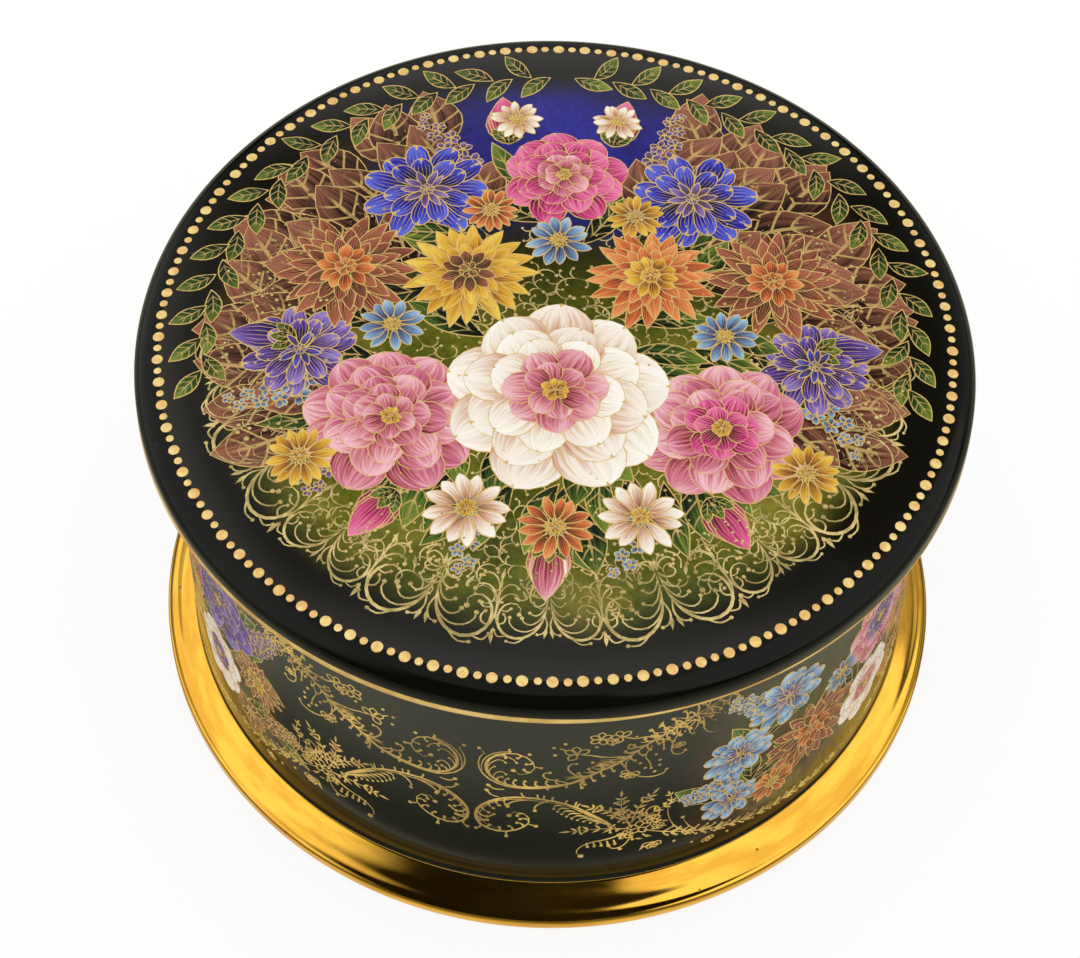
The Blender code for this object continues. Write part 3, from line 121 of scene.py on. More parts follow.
class Wiring:
    """Adds and joins nodes in one tree."""

    def __init__(self, tree: bpy.types.NodeTree) -> None:
        """Takes the tree that the nodes go into."""
        self.tree = tree

    def add(self, kind: str, **settings: object) -> bpy.types.Node:
        """A new node.

        Args:
            kind: the node's type.
            settings: values for its own properties.

        Returns:
            The node.
        """
        node = self.tree.nodes.new(kind)
        for key, value in settings.items():
            setattr(node, key, value)
        return node

    def read(self, node: bpy.types.Node, output: int | str = 0) -> Signal:
        """One of a node's outputs, by its place or name."""
        return Signal(self, node.outputs[output])

    def feed(self, socket: bpy.types.NodeSocket, value: object) -> None:
        """Links a socket to a signal, or sets its value.

        Args:
            socket: the input to feed.
            value: a signal, a number or a colour.
        """
        if isinstance(value, Signal):
            self.tree.links.new(value.socket, socket)
        elif isinstance(value, tuple) and socket.type == "RGBA":
            socket.default_value = (*value, 1.0)
        else:
            socket.default_value = value

    def fill(self, node: bpy.types.Node, *places: object, **names: object) -> bpy.types.Node:
        """Feeds a node's inputs.

        Args:
            node: the node.
            places: values for its first inputs, in their order.
            names: values by the input's name, written with _ for a space.

        Returns:
            The node.
        """
        for socket, value in zip(node.inputs, places):
            self.feed(socket, value)
        for name, value in names.items():
            self.feed(node.inputs[name.replace("_", " ")], value)
        return node

    def math(self, operation: str, *values: object) -> Signal:
        """The result of a Math node on signals or numbers."""
        return self.read(self.fill(self.add("ShaderNodeMath", operation=operation), *values))

    def vector(self, operation: str, *values: object) -> Signal:
        """The result of a Vector Math node, a vector or for LENGTH and DOT_PRODUCT a number.

        Args:
            operation: what the node does.
            values: signals or vectors.

        Returns:
            The result.
        """
        node = self.fill(self.add("ShaderNodeVectorMath", operation=operation), *values)
        return self.read(node, "Value" if operation in ("LENGTH", "DOT_PRODUCT") else 0)

    def mix(self, share: object, first: object, second: object, way: str = "MIX") -> Signal:
        """A colour mixed from two.

        Args:
            share: how much of the second there is, 0 to 1.
            first, second: colours or colour signals.
            way: the blend type.

        Returns:
            The mixed colour.
        """
        node = self.add("ShaderNodeMix", data_type="RGBA", blend_type=way)
        for place, value in ((0, share), (6, first), (7, second)):
            self.feed(node.inputs[place], value)
        return self.read(node, 2)

    def step(self, value: Signal, low: float, high: float, start: float = 0.0, end: float = 1.0) -> Signal:
        """A smooth step of a value.

        Args:
            value: what is looked at.
            low, high: where the step begins and where it ends.
            start, end: the results there.

        Returns:
            The stepped value.
        """
        node = self.add("ShaderNodeMapRange", interpolation_type="SMOOTHSTEP", clamp=True)
        return self.read(self.fill(node, value, low, high, start, end))

    def ramp(self, value: Signal, *stops: tuple[float, Colour]) -> Signal:
        """A colour read off a ramp.

        Args:
            value: the place on the ramp.
            stops: the places and colours that make the ramp.

        Returns:
            The colour.
        """
        node = self.add("ShaderNodeValToRGB")
        while len(node.color_ramp.elements) < len(stops):
            node.color_ramp.elements.new(0.5)
        for element, (place, colour) in zip(node.color_ramp.elements, stops):
            element.position = place
            element.color = (*colour, 1.0)
        return self.read(self.fill(node, value))

    def noise(self, vector: Signal, scale: float, detail: float = 2.0, rough: float = 0.5,
              distortion: float = 0.0) -> Signal:
        """The grey value of a Noise Texture.

        Args:
            vector: the place that is looked at.
            scale, detail, rough, distortion: the texture's own values.

        Returns:
            The value, 0 to 1.
        """
        node = self.add("ShaderNodeTexNoise")
        return self.read(self.fill(node, Vector=vector, Scale=scale, Detail=detail, Roughness=rough,
                                   Distortion=distortion), "Fac")

    def place(self) -> Signal:
        """Object coordinates, in metres."""
        return self.read(self.add("ShaderNodeTexCoord"), "Object")

    def attribute(self, name: str) -> Signal:
        """The value of one of the piece's own attributes."""
        return self.read(self.add("ShaderNodeAttribute", attribute_name=name), "Fac")

    def combine(self, x: object, y: object, z: object) -> Signal:
        """A vector from three values."""
        return self.read(self.fill(self.add("ShaderNodeCombineXYZ"), x, y, z))

    def separate(self, vector: Signal) -> tuple[Signal, ...]:
        """The three values of a vector."""
        node = self.fill(self.add("ShaderNodeSeparateXYZ"), vector)
        return tuple(self.read(node, k) for k in range(3))

    def bump(self, height: Signal, strength: float, distance: float) -> Signal:
        """A normal from a height, whose 1 stands for a distance in metres."""
        node = self.add("ShaderNodeBump")
        return self.read(self.fill(node, Height=height, Strength=strength, Distance=distance))

    def group(self, tree: bpy.types.NodeTree, **values: object) -> bpy.types.Node:
        """A shared group placed in this tree with its own values."""
        return self.fill(self.add("ShaderNodeGroup", node_tree=tree), **values)


def new_group(name: str, inputs: dict[str, object], outputs: Sequence[str]) -> tuple[
        bpy.types.NodeTree, Wiring, list[Signal], bpy.types.Node]:
    """An empty shader node group with its sockets.

    Args:
        name: the group's name.
        inputs: each input's name and its default, a number or a vector.
        outputs: the names of its value outputs.

    Returns:
        The group, its wiring, its inputs as signals and its output node.
    """
    tree = bpy.data.node_groups.new(name, "ShaderNodeTree")
    for label, default in inputs.items():
        kind = "NodeSocketVector" if isinstance(default, tuple) else "NodeSocketFloat"
        socket = tree.interface.new_socket(name=label, in_out="INPUT", socket_type=kind)
        socket.default_value = default
    for label in outputs:
        tree.interface.new_socket(name=label, in_out="OUTPUT", socket_type="NodeSocketFloat")
    wiring = Wiring(tree)
    given = wiring.add("NodeGroupInput")
    return tree, wiring, [wiring.read(given, label) for label in inputs], wiring.add("NodeGroupOutput")


@functools.cache
def fired_specks() -> bpy.types.NodeTree:
    """Pinholes and specks that a firing leaves: how much of one is here, and its height.

    Returns:
        The group, with inputs Vector, Scale and Share, and outputs Mask and Height.
    """
    tree, w, (vector, scale, share), out = new_group(
        "fired_specks", {"Vector": (0.0, 0.0, 0.0), "Scale": 900.0, "Share": 0.3}, ("Mask", "Height"))
    cells = w.fill(w.add("ShaderNodeTexVoronoi"), Vector=vector, Scale=scale)
    lot = w.separate(w.read(cells, "Color"))[0]
    mask = w.step(w.read(cells, "Distance"), 0.06, 0.16, 1.0, 0.0) * w.math("LESS_THAN", lot, share)
    w.fill(out, Mask=mask, Height=1.0 - mask)
    return tree


@functools.cache
def wiped_film() -> bpy.types.NodeTree:
    """The faint uneven film that handling and wiping leave on a gloss.

    Returns:
        The group, with input Vector and output Film, 0 to 1.
    """
    tree, w, (vector,), out = new_group("wiped_film", {"Vector": (0.0, 0.0, 0.0)}, ("Film",))
    broad = w.noise(vector, 38.0, 3.0, 0.55, 0.6)
    fine = w.noise(vector.stretched(1.0, 7.0, 2.0), 260.0, 4.0, 0.6, 0.3)
    w.fill(out, Film=w.step(broad * 0.65 + fine * 0.35, 0.35, 0.68))
    return tree


@functools.cache
def brush_streaks() -> bpy.types.NodeTree:
    """The streaks of a fine brush drawn from a petal's root to its tip.

    Returns:
        The group, with inputs Along, Across and Tone, and output Streak, 0 to 1.
    """
    tree, w, (along, across, tone), out = new_group(
        "brush_streaks", {"Along": 0.0, "Across": 0.0, "Tone": 0.0}, ("Streak",))
    seed = tone * 23.0
    fan = w.noise(w.combine(across * 7.0, along * 1.1, seed), 1.0, 2.0)
    hair = w.noise(w.combine(across * 22.0, along * 2.6, seed), 1.0, 3.0)
    w.fill(out, Streak=w.step(fan * 0.6 + hair * 0.4, 0.3, 0.7))
    return tree


@functools.cache
def gold_penwork() -> bpy.types.NodeTree:
    """Where a gold pen has gone round a petal or leaf and along its veins.

    Returns:
        The group, with inputs Along, Across, Rim, Veins and Slant, and output Mask.
    """
    tree, w, (along, across, rim, veins, slant), out = new_group(
        "gold_penwork", {"Along": 0.0, "Across": 0.0, "Rim": 1.0, "Veins": 3.0, "Slant": 0.0}, ("Mask",))
    outline = w.step(rim, 0.10, 0.19, 1.0, 0.0)
    side = abs(across)
    lines = across * veins * (1.0 - slant) + (along * veins - side) * slant
    saw = abs(w.math("FRACT", lines + 40.5) - 0.5)
    vein = w.step(saw, 0.05, 0.10, 1.0, 0.0)
    rib = w.step(side, 0.05, 0.10, 1.0, 0.0) * slant
    body = w.step(along, 0.12, 0.25) * w.step(along, 0.62, 0.86, 1.0, 0.0)
    w.fill(out, Mask=outline.larger(vein.larger(rib) * body * 0.62))
    return tree


# Finishes


class Gloss(Enum):
    """How a surface shines, as a roughness."""

    MIRROR = 0.06
    GLAZE = 0.11
    BURNISHED = 0.09
    SATIN = 0.3
    DULL = 0.5


@dataclass(frozen=True)
class Finish:
    """The base of every finish: a named material with one Principled shader."""

    name: str

    def material(self) -> bpy.types.Material:
        """The finish's material, made the first time that it is asked for.

        Returns:
            The material.
        """
        made = bpy.data.materials.get(self.name)
        if made is None:
            made = bpy.data.materials.new(self.name)
            made.use_nodes = True
            self.wire(Wiring(made.node_tree), made.node_tree.nodes["Principled BSDF"])
        return made

    def wire(self, w: Wiring, shader: bpy.types.Node) -> None:
        """Sets and feeds the shader.

        Args:
            w: the material's wiring.
            shader: its Principled BSDF.
        """
        raise NotImplementedError


GOLD_LEAF = paint(255, 199, 76)
GOLD_DEEP = paint(206, 140, 40)
GOLD_PEN = paint(232, 196, 118)
PETAL_MARKS = ("along", "across", "rim", "tone")


@dataclass(frozen=True)
class BlackGlaze(Finish):
    """Black porcelain glaze, with a faint olive cast, specks and a wiped film."""

    gloss: Gloss = Gloss.GLAZE
    body: Colour = paint(19, 19, 11)
    speck: Colour = paint(60, 58, 46)
    index: float = 1.5

    def colour(self, w: Wiring, place: Signal) -> Signal:
        """The glaze's colour before its specks, at an object's place."""
        return w.mix(w.noise(place, 60.0, 3.0), dimmed(self.body, 0.45), self.body)

    def wire(self, w: Wiring, shader: bpy.types.Node) -> None:
        """Sets and feeds the shader.

        Args:
            w: the material's wiring.
            shader: its Principled BSDF.
        """
        place = w.place()
        specks = w.read(w.group(fired_specks(), Vector=place, Scale=420.0, Share=0.05), "Mask")
        film = w.read(w.group(wiped_film(), Vector=place))
        w.fill(shader, Base_Color=w.mix(specks, self.colour(w, place), self.speck),
               Roughness=film * 0.07 + self.gloss.value, IOR=self.index,
               Normal=w.bump(w.noise(place, 230.0, 2.0), 0.08, 0.00004))


@dataclass(frozen=True)
class LidGround(BlackGlaze):
    """The lid's glaze, with a soft painted ground under the bouquet."""

    reach: float = 45.5

    def colour(self, w: Wiring, place: Signal) -> Signal:
        """Black round the edge, and clouds of green, cobalt and russet inside it.

        Args:
            w: the material's wiring.
            place: object coordinates.

        Returns:
            The colour.
        """
        x, y, z = w.separate(place)
        flat = w.combine(x, y, 0.0)
        ragged = w.vector("LENGTH", flat) + w.noise(flat, 150.0, 3.0) * 0.003
        inside = w.step(ragged, self.reach * 0.88 * MM, (self.reach + 2.0) * MM, 1.0, 0.0)
        cloud = w.noise(flat, 46.0, 4.0, 0.6)
        stipple = w.noise(flat, 900.0, 3.0, 0.7)
        shade = cloud * 0.75 + stipple * 0.25
        green = w.ramp(shade, (0.34, paint(52, 56, 10)), (0.45, paint(86, 90, 20)),
                       (0.54, paint(114, 112, 34)), (0.64, paint(142, 138, 54)))
        cobalt = w.ramp(shade, (0.32, paint(14, 12, 46)), (0.52, paint(34, 30, 128)),
                        (0.68, paint(48, 50, 172)))
        russet = w.ramp(shade, (0.32, paint(30, 18, 12)), (0.52, paint(86, 48, 34)),
                        (0.68, paint(120, 70, 46)))
        high = y + (cloud - 0.5) * 0.026
        wide = abs(x + (stipple - 0.5) * 0.006)
        sky = w.step(high, 0.012, 0.026) * w.step(wide, 0.021, 0.027, 1.0, 0.0)
        flank = w.step(wide, 0.022, 0.030) * w.step(high, -0.004, 0.014)
        meadow = w.mix(w.step(high, -0.006, 0.016, 1.0, 0.12), self.body, green)
        ground = w.mix(flank * 0.75, w.mix(sky, meadow, cobalt), russet)
        return w.mix(inside, w.mix(cloud, paint(5, 6, 4), self.body), ground)


@dataclass(frozen=True)
class WallGround(BlackGlaze):
    """The wall's glaze, with an earthy painted glow at the foot of each flower panel."""

    first_panel: float = 49.4
    panels: int = 3
    half_width: float = 25.0
    wall: float = 49.5

    def colour(self, w: Wiring, place: Signal) -> Signal:
        """Black glaze, and ochre and green under the panels.

        Args:
            w: the material's wiring.
            place: object coordinates.

        Returns:
            The colour.
        """
        x, y, z = w.separate(place)
        period = math.tau / self.panels
        turn = w.math("ARCTAN2", x, y * -1.0)
        panel = w.math("DIVIDE", turn - math.radians(self.first_panel), period)
        aside = abs(w.math("FRACT", panel + 10.5) - 0.5)
        cloud = w.noise(place, 70.0, 4.0, 0.6)
        fine = w.noise(place, 700.0, 3.0, 0.7)
        reach = self.half_width / (period * self.wall)
        middle = w.step(aside + (cloud - 0.5) * 0.16, reach * 0.55, reach, 1.0, 0.0)
        rise = z + (cloud - 0.5) * 0.020
        low = w.step(rise, 0.008, 0.012) * w.step(rise, 0.022, 0.046, 1.0, 0.25)
        earth = w.ramp(cloud * 0.7 + fine * 0.3, (0.32, paint(46, 34, 20)), (0.46, paint(96, 66, 36)),
                       (0.55, paint(110, 104, 44)), (0.66, paint(150, 112, 50)))
        return w.mix(middle * low * 0.85, BlackGlaze.colour(self, w, place), earth)


@dataclass(frozen=True)
class Gilding(Finish):
    """Burnished gold fired on porcelain: bright, with pits, brushed laps and rubbed places."""

    leaf: Colour = GOLD_LEAF
    lap: Colour = tuple(0.45 * a + 0.55 * b for a, b in zip(GOLD_LEAF, GOLD_DEEP))
    pit: Colour = paint(96, 62, 22)
    gloss: Gloss = Gloss.BURNISHED
    pits: float = 0.10

    def wire(self, w: Wiring, shader: bpy.types.Node) -> None:
        """Sets and feeds the shader.

        Args:
            w: the material's wiring.
            shader: its Principled BSDF.
        """
        place = w.place()
        specks = w.group(fired_specks(), Vector=place, Scale=520.0, Share=self.pits)
        film = w.read(w.group(wiped_film(), Vector=place))
        laps = w.noise(place.stretched(1.0, 1.0, 9.0), 90.0, 3.0, 0.6)
        gold = w.mix(w.step(laps, 0.38, 0.66), self.leaf, self.lap)
        dents = w.read(specks, "Height") * 0.7 + w.noise(place, 300.0, 3.0) * 0.5
        w.fill(shader, Base_Color=w.mix(w.read(specks, "Mask") * 0.8, gold, self.pit), Metallic=1.0,
               Roughness=film * 0.07 + self.gloss.value, Normal=w.bump(dents, 0.25, 0.00003))


@dataclass(frozen=True)
class PenGold(Finish):
    """Gold drawn with a pen: matt, a little uneven, browner where it is thin."""

    light: Colour
    thin: Colour
    scale: float = 650.0

    def wire(self, w: Wiring, shader: bpy.types.Node) -> None:
        """Sets and feeds the shader.

        Args:
            w: the material's wiring.
            shader: its Principled BSDF.
        """
        place = w.place()
        uneven = w.noise(place, self.scale, 3.0, 0.6)
        share = w.step(uneven * 0.6 + w.noise(place, 120.0, 2.0) * 0.4, 0.40, 0.62)
        w.fill(shader, Base_Color=w.mix(share, self.thin, self.light), Metallic=0.25,
               Roughness=uneven * 0.2 + 0.34, Normal=w.bump(uneven, 0.3, 0.00002))


@dataclass(frozen=True)
class FlowerPaint(Finish):
    """Overglaze paint on petals or leaves, from a deep root to a light tip, with gold pen lines."""

    root: Colour
    middle: Colour
    tip: Colour
    veins: float = 3.0
    slant: float = 0.0
    stipple: float = 0.0
    spread: float = 0.45

    def wire(self, w: Wiring, shader: bpy.types.Node) -> None:
        """Sets and feeds the shader.

        Args:
            w: the material's wiring.
            shader: its Principled BSDF.
        """
        along, across, rim, tone = (w.attribute(label) for label in PETAL_MARKS)
        streak = w.read(w.group(brush_streaks(), Along=along, Across=across, Tone=tone))
        shade = along * 0.78 + (streak - 0.5) * self.spread + across * 0.10 + tone * 0.14
        body = w.ramp(shade, (0.0, dimmed(self.root, 0.35)), (0.22, self.root), (0.52, self.middle),
                      (0.86, self.tip))
        lines = w.read(w.group(gold_penwork(), Along=along, Across=across, Rim=rim, Veins=self.veins,
                               Slant=self.slant))
        place = w.place()
        if self.stipple:
            dots = w.group(fired_specks(), Vector=place, Scale=1500.0, Share=self.stipple)
            lines = lines.larger(w.read(dots, "Mask") * 0.8)
        gold = lines * w.step(w.noise(place, 800.0, 2.0), 0.32, 0.5, 0.55, 1.0)
        w.fill(shader, Base_Color=w.mix(gold, body, GOLD_PEN), Metallic=gold * 0.2,
               Roughness=streak * 0.08 + 0.22, IOR=1.45)


@dataclass(frozen=True)
class Metal(Finish):
    """A worked metal: brushed one way, with tarnish in its cloudy places."""

    bright: Colour
    tarnish: Colour
    gloss: Gloss = Gloss.SATIN
    cast: float = 0.0

    def wire(self, w: Wiring, shader: bpy.types.Node) -> None:
        """Sets and feeds the shader.

        Args:
            w: the material's wiring.
            shader: its Principled BSDF.
        """
        place = w.place()
        brushed = w.noise(place.stretched(1.0, 1.0, 14.0), 900.0, 3.0, 0.6)
        cloud = w.step(w.noise(place, 160.0, 3.0, 0.6), 0.42, 0.7)
        height = brushed * (1.0 - self.cast) + w.noise(place, 2600.0, 2.0) * self.cast
        w.fill(shader, Base_Color=w.mix(cloud * 0.6, self.bright, self.tarnish), Metallic=1.0,
               Roughness=brushed * 0.2 + (self.gloss.value - 0.08), Normal=w.bump(height, 0.25, 0.00003))


@dataclass(frozen=True)
class Grained(Finish):
    """A dull body with a fine grain: moulded plastic, or bare porcelain where a piece stood in the kiln."""

    body: Colour
    light: Colour
    rough: float
    cloud: float
    grain: tuple[float, float, float]
    depth: tuple[float, float]

    def wire(self, w: Wiring, shader: bpy.types.Node) -> None:
        """Sets and feeds the shader.

        Args:
            w: the material's wiring.
            shader: its Principled BSDF.
        """
        place = w.place()
        grain = w.noise(place, *self.grain)
        w.fill(shader, Base_Color=w.mix(w.noise(place, self.cloud, 3.0), self.body, self.light),
               Roughness=grain * 0.2 + self.rough, Normal=w.bump(grain, *self.depth))


def moulded(name: str, body: Colour) -> Grained:
    """A moulded plastic with a spark-eroded grain.

    Args:
        name: the finish's name.
        body: the plastic's colour.

    Returns:
        The finish.
    """
    light = tuple(min(1.0, 1.25 * c + 0.004) for c in body)
    return Grained(name, body, light, Gloss.SATIN.value, 50.0, (1800.0, 3.0, 0.6), (0.3, 0.00004))


WALL_GLAZE = WallGround("wall_glaze")
ROOM_GLAZE = BlackGlaze("room_glaze", body=paint(20, 19, 16))
LID_GLAZE = LidGround("lid_glaze", body=paint(24, 20, 11))
# Painted shade: the glaze of the lid's shoulder and side is a darker copy of the black glaze with a weaker
# reflection, so that they show dark.
SHADED_EDGE_GLAZE = BlackGlaze("edge_glaze", body=paint(14, 14, 9), gloss=Gloss.MIRROR, index=1.24)
FOOT_GOLD = Gilding("foot_gold")
EDGE_GOLD = PenGold("edge_gold", paint(238, 202, 122), paint(206, 160, 84), 220.0)
DOT_GOLD = PenGold("dot_gold", paint(250, 224, 148), paint(238, 189, 112), 1300.0)
WALL_PEN = PenGold("wall_pen_gold", paint(242, 204, 112), paint(176, 146, 82), 160.0)
LID_PEN = PenGold("lid_pen_gold", paint(226, 202, 134), paint(166, 146, 84))
BARE = Grained("bare_porcelain", paint(206, 200, 188), paint(226, 222, 212), 0.6, 90.0, (1500.0, 4.0, 0.65),
               (0.4, 0.00005))


# Painted shapes


class Part(Enum):
    """A dressed part of the box, as its CAD body and the record's material slot."""

    LID = ("lid", "painted_porcelain")
    CASE = ("case", "black_porcelain")


def new_object(name: str, data: bpy.types.ID) -> bpy.types.Object:
    """A new object in the scene.

    Args:
        name: its name.
        data: the mesh or camera that it shows.

    Returns:
        The object.
    """
    made = bpy.data.objects.new(name, data)
    bpy.context.scene.collection.objects.link(made)
    return made


def as_mesh(name: str, bm: bmesh.types.BMesh) -> bpy.types.Mesh:
    """A shape made a mesh.

    Args:
        name: the mesh's name.
        bm: the shape, which is freed.

    Returns:
        The mesh.
    """
    mesh = bpy.data.meshes.new(name)
    bm.to_mesh(mesh)
    bm.free()
    return mesh


def dress(name: str, mesh: bpy.types.Mesh, finishes: Sequence[Finish], part: Part) -> bpy.types.Object:
    """Makes a mesh a piece of the box.

    Args:
        name: the piece's name.
        mesh: its mesh, in metres and in place.
        finishes: its finishes, in the order of the slots.
        part: the part that it rides on.

    Returns:
        The piece.
    """
    piece = new_object(name, mesh)
    for finish in finishes:
        mesh.materials.append(finish.material())
    body, slot_name = part.value
    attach(piece, body)
    LOG.info("%s: %d faces on body %s", name, len(mesh.polygons), body)
    return piece


@dataclass(frozen=True)
class Template:
    """A small closed shape made by operators, whose vertices are moved wherever it is painted."""

    mesh: bpy.types.Mesh
    turned: bpy.types.Mesh
    coords: np.ndarray
    corners: np.ndarray


def as_template(name: str, bm: bmesh.types.BMesh) -> Template:
    """Keeps a shape as a template, the right way out and inside out.

    Args:
        name: the template's name.
        bm: the shape, which is freed.

    Returns:
        The template.
    """
    bmesh.ops.recalc_face_normals(bm, faces=bm.faces[:])
    for edge in bm.edges:
        edge.smooth = len(edge.link_faces) < 2 or edge.calc_face_angle() < math.radians(60)
    for face in bm.faces:
        face.smooth = True
    mesh = bpy.data.meshes.new(name)
    bm.to_mesh(mesh)
    bmesh.ops.reverse_faces(bm, faces=bm.faces[:])
    mesh.calc_loop_triangles()
    coords = np.array([v.co for v in mesh.vertices], float)
    corners = np.array([t.vertices for t in mesh.loop_triangles], int)
    return Template(mesh, as_mesh(name + "_turned", bm), coords, corners)


@functools.cache
def stroke_template(rings: int) -> Template:
    """A pen stroke.

    Args:
        rings: how many lengths it is cut into.

    Returns:
        A three-sided bar.
    """
    bm = bmesh.new()
    bmesh.ops.create_cone(bm, cap_ends=True, segments=3, radius1=1, radius2=1, depth=1)
    long = [e for e in bm.edges if abs(e.verts[0].co.z - e.verts[1].co.z) > 0.5]
    bmesh.ops.subdivide_edges(bm, edges=long, cuts=rings - 1)
    return as_template(f"stroke_{rings}", bm)


@functools.cache
def petal_template(across: int, along: int) -> Template:
    """A petal.

    Args:
        across, along: how many cells it has.

    Returns:
        A thin slab.
    """
    bm = bmesh.new()
    bmesh.ops.create_grid(bm, x_segments=across, y_segments=along, size=1)
    raised = bmesh.ops.extrude_face_region(bm, geom=bm.faces[:])["geom"]
    bmesh.ops.translate(bm, vec=(0, 0, 1), verts=[g for g in raised if isinstance(g, bmesh.types.BMVert)])
    return as_template(f"petal_{across}_{along}", bm)


@functools.cache
def bead_template(sides: int) -> Template:
    """A bead of raised gold.

    Args:
        sides: how many sides it has. Under 8 they are those of an icosphere.

    Returns:
        A ball.
    """
    bm = bmesh.new()
    if sides < 8:
        bmesh.ops.create_icosphere(bm, subdivisions=1, radius=1)
    else:
        bmesh.ops.create_uvsphere(bm, u_segments=sides, v_segments=6, radius=1)
    return as_template(f"bead_{sides}", bm)


def smooth_path(points: Sequence[Point], per_span: int = 7) -> np.ndarray:
    """A smooth line through points.

    Args:
        points: the points that it passes, in millimetres.
        per_span: how many steps there are between two points.

    Returns:
        The line's points.
    """
    p = np.array(points, float)
    if len(p) == 2:
        return np.linspace(p[0], p[1], per_span + 1)
    q = np.concatenate([2 * p[:1] - p[1:2], p, 2 * p[-1:] - p[-2:-1]])
    out = []
    for i in range(1, len(q) - 2):
        a, b, c, d = q[i - 1:i + 3]
        for t in np.arange(per_span) / per_span:
            out.append(0.5 * (2 * b + (c - a) * t + (2 * a - 5 * b + 4 * c - d) * t ** 2
                              + (3 * b - a - 3 * c + d) * t ** 3))
    out.append(q[-2])
    return np.array(out)


def walk(path: np.ndarray, shares: np.ndarray) -> tuple[np.ndarray, np.ndarray]:
    """Places and directions along a path.

    Args:
        path: its points.
        shares: how far along each place is, 0 to 1.

    Returns:
        The places, and the unit directions there.
    """
    run = np.concatenate([[0], np.cumsum(np.linalg.norm(np.diff(path, axis=0), axis=1))])
    at = shares * run[-1]
    reach = 0.02 * run[-1]
    here, ahead, back = (np.stack([np.interp(s, run, path[:, k]) for k in (0, 1)], 1)
                         for s in (at, at + reach, at - reach))
    way = ahead - back
    return here, way / np.maximum(np.linalg.norm(way, axis=1, keepdims=True), 1e-9)


def headings(path: np.ndarray, shares: Sequence[float]) -> list[tuple[np.ndarray, float]]:
    """Places along a path, each with the way that the path goes there, in degrees."""
    here, way = walk(path, np.array(shares))
    return [(p, math.degrees(math.atan2(d[1], d[0]))) for p, d in zip(here, way)]


def polar(radius: float, degrees: float) -> Point:
    """The point at a radius and an angle."""
    return radius * math.cos(math.radians(degrees)), radius * math.sin(math.radians(degrees))


class Taper(Enum):
    """How a stroke's width runs from its start to its end, as widths at five places."""

    EVEN = (0.8, 1.0, 1.0, 1.0, 0.8)
    BOTH = (0.25, 0.85, 1.0, 0.85, 0.25)
    OUT = (1.0, 0.95, 0.8, 0.55, 0.25)
    LEAF = (0.15, 0.9, 1.0, 0.6, 0.08)


Placing = Callable[[np.ndarray, np.ndarray, np.ndarray], np.ndarray]


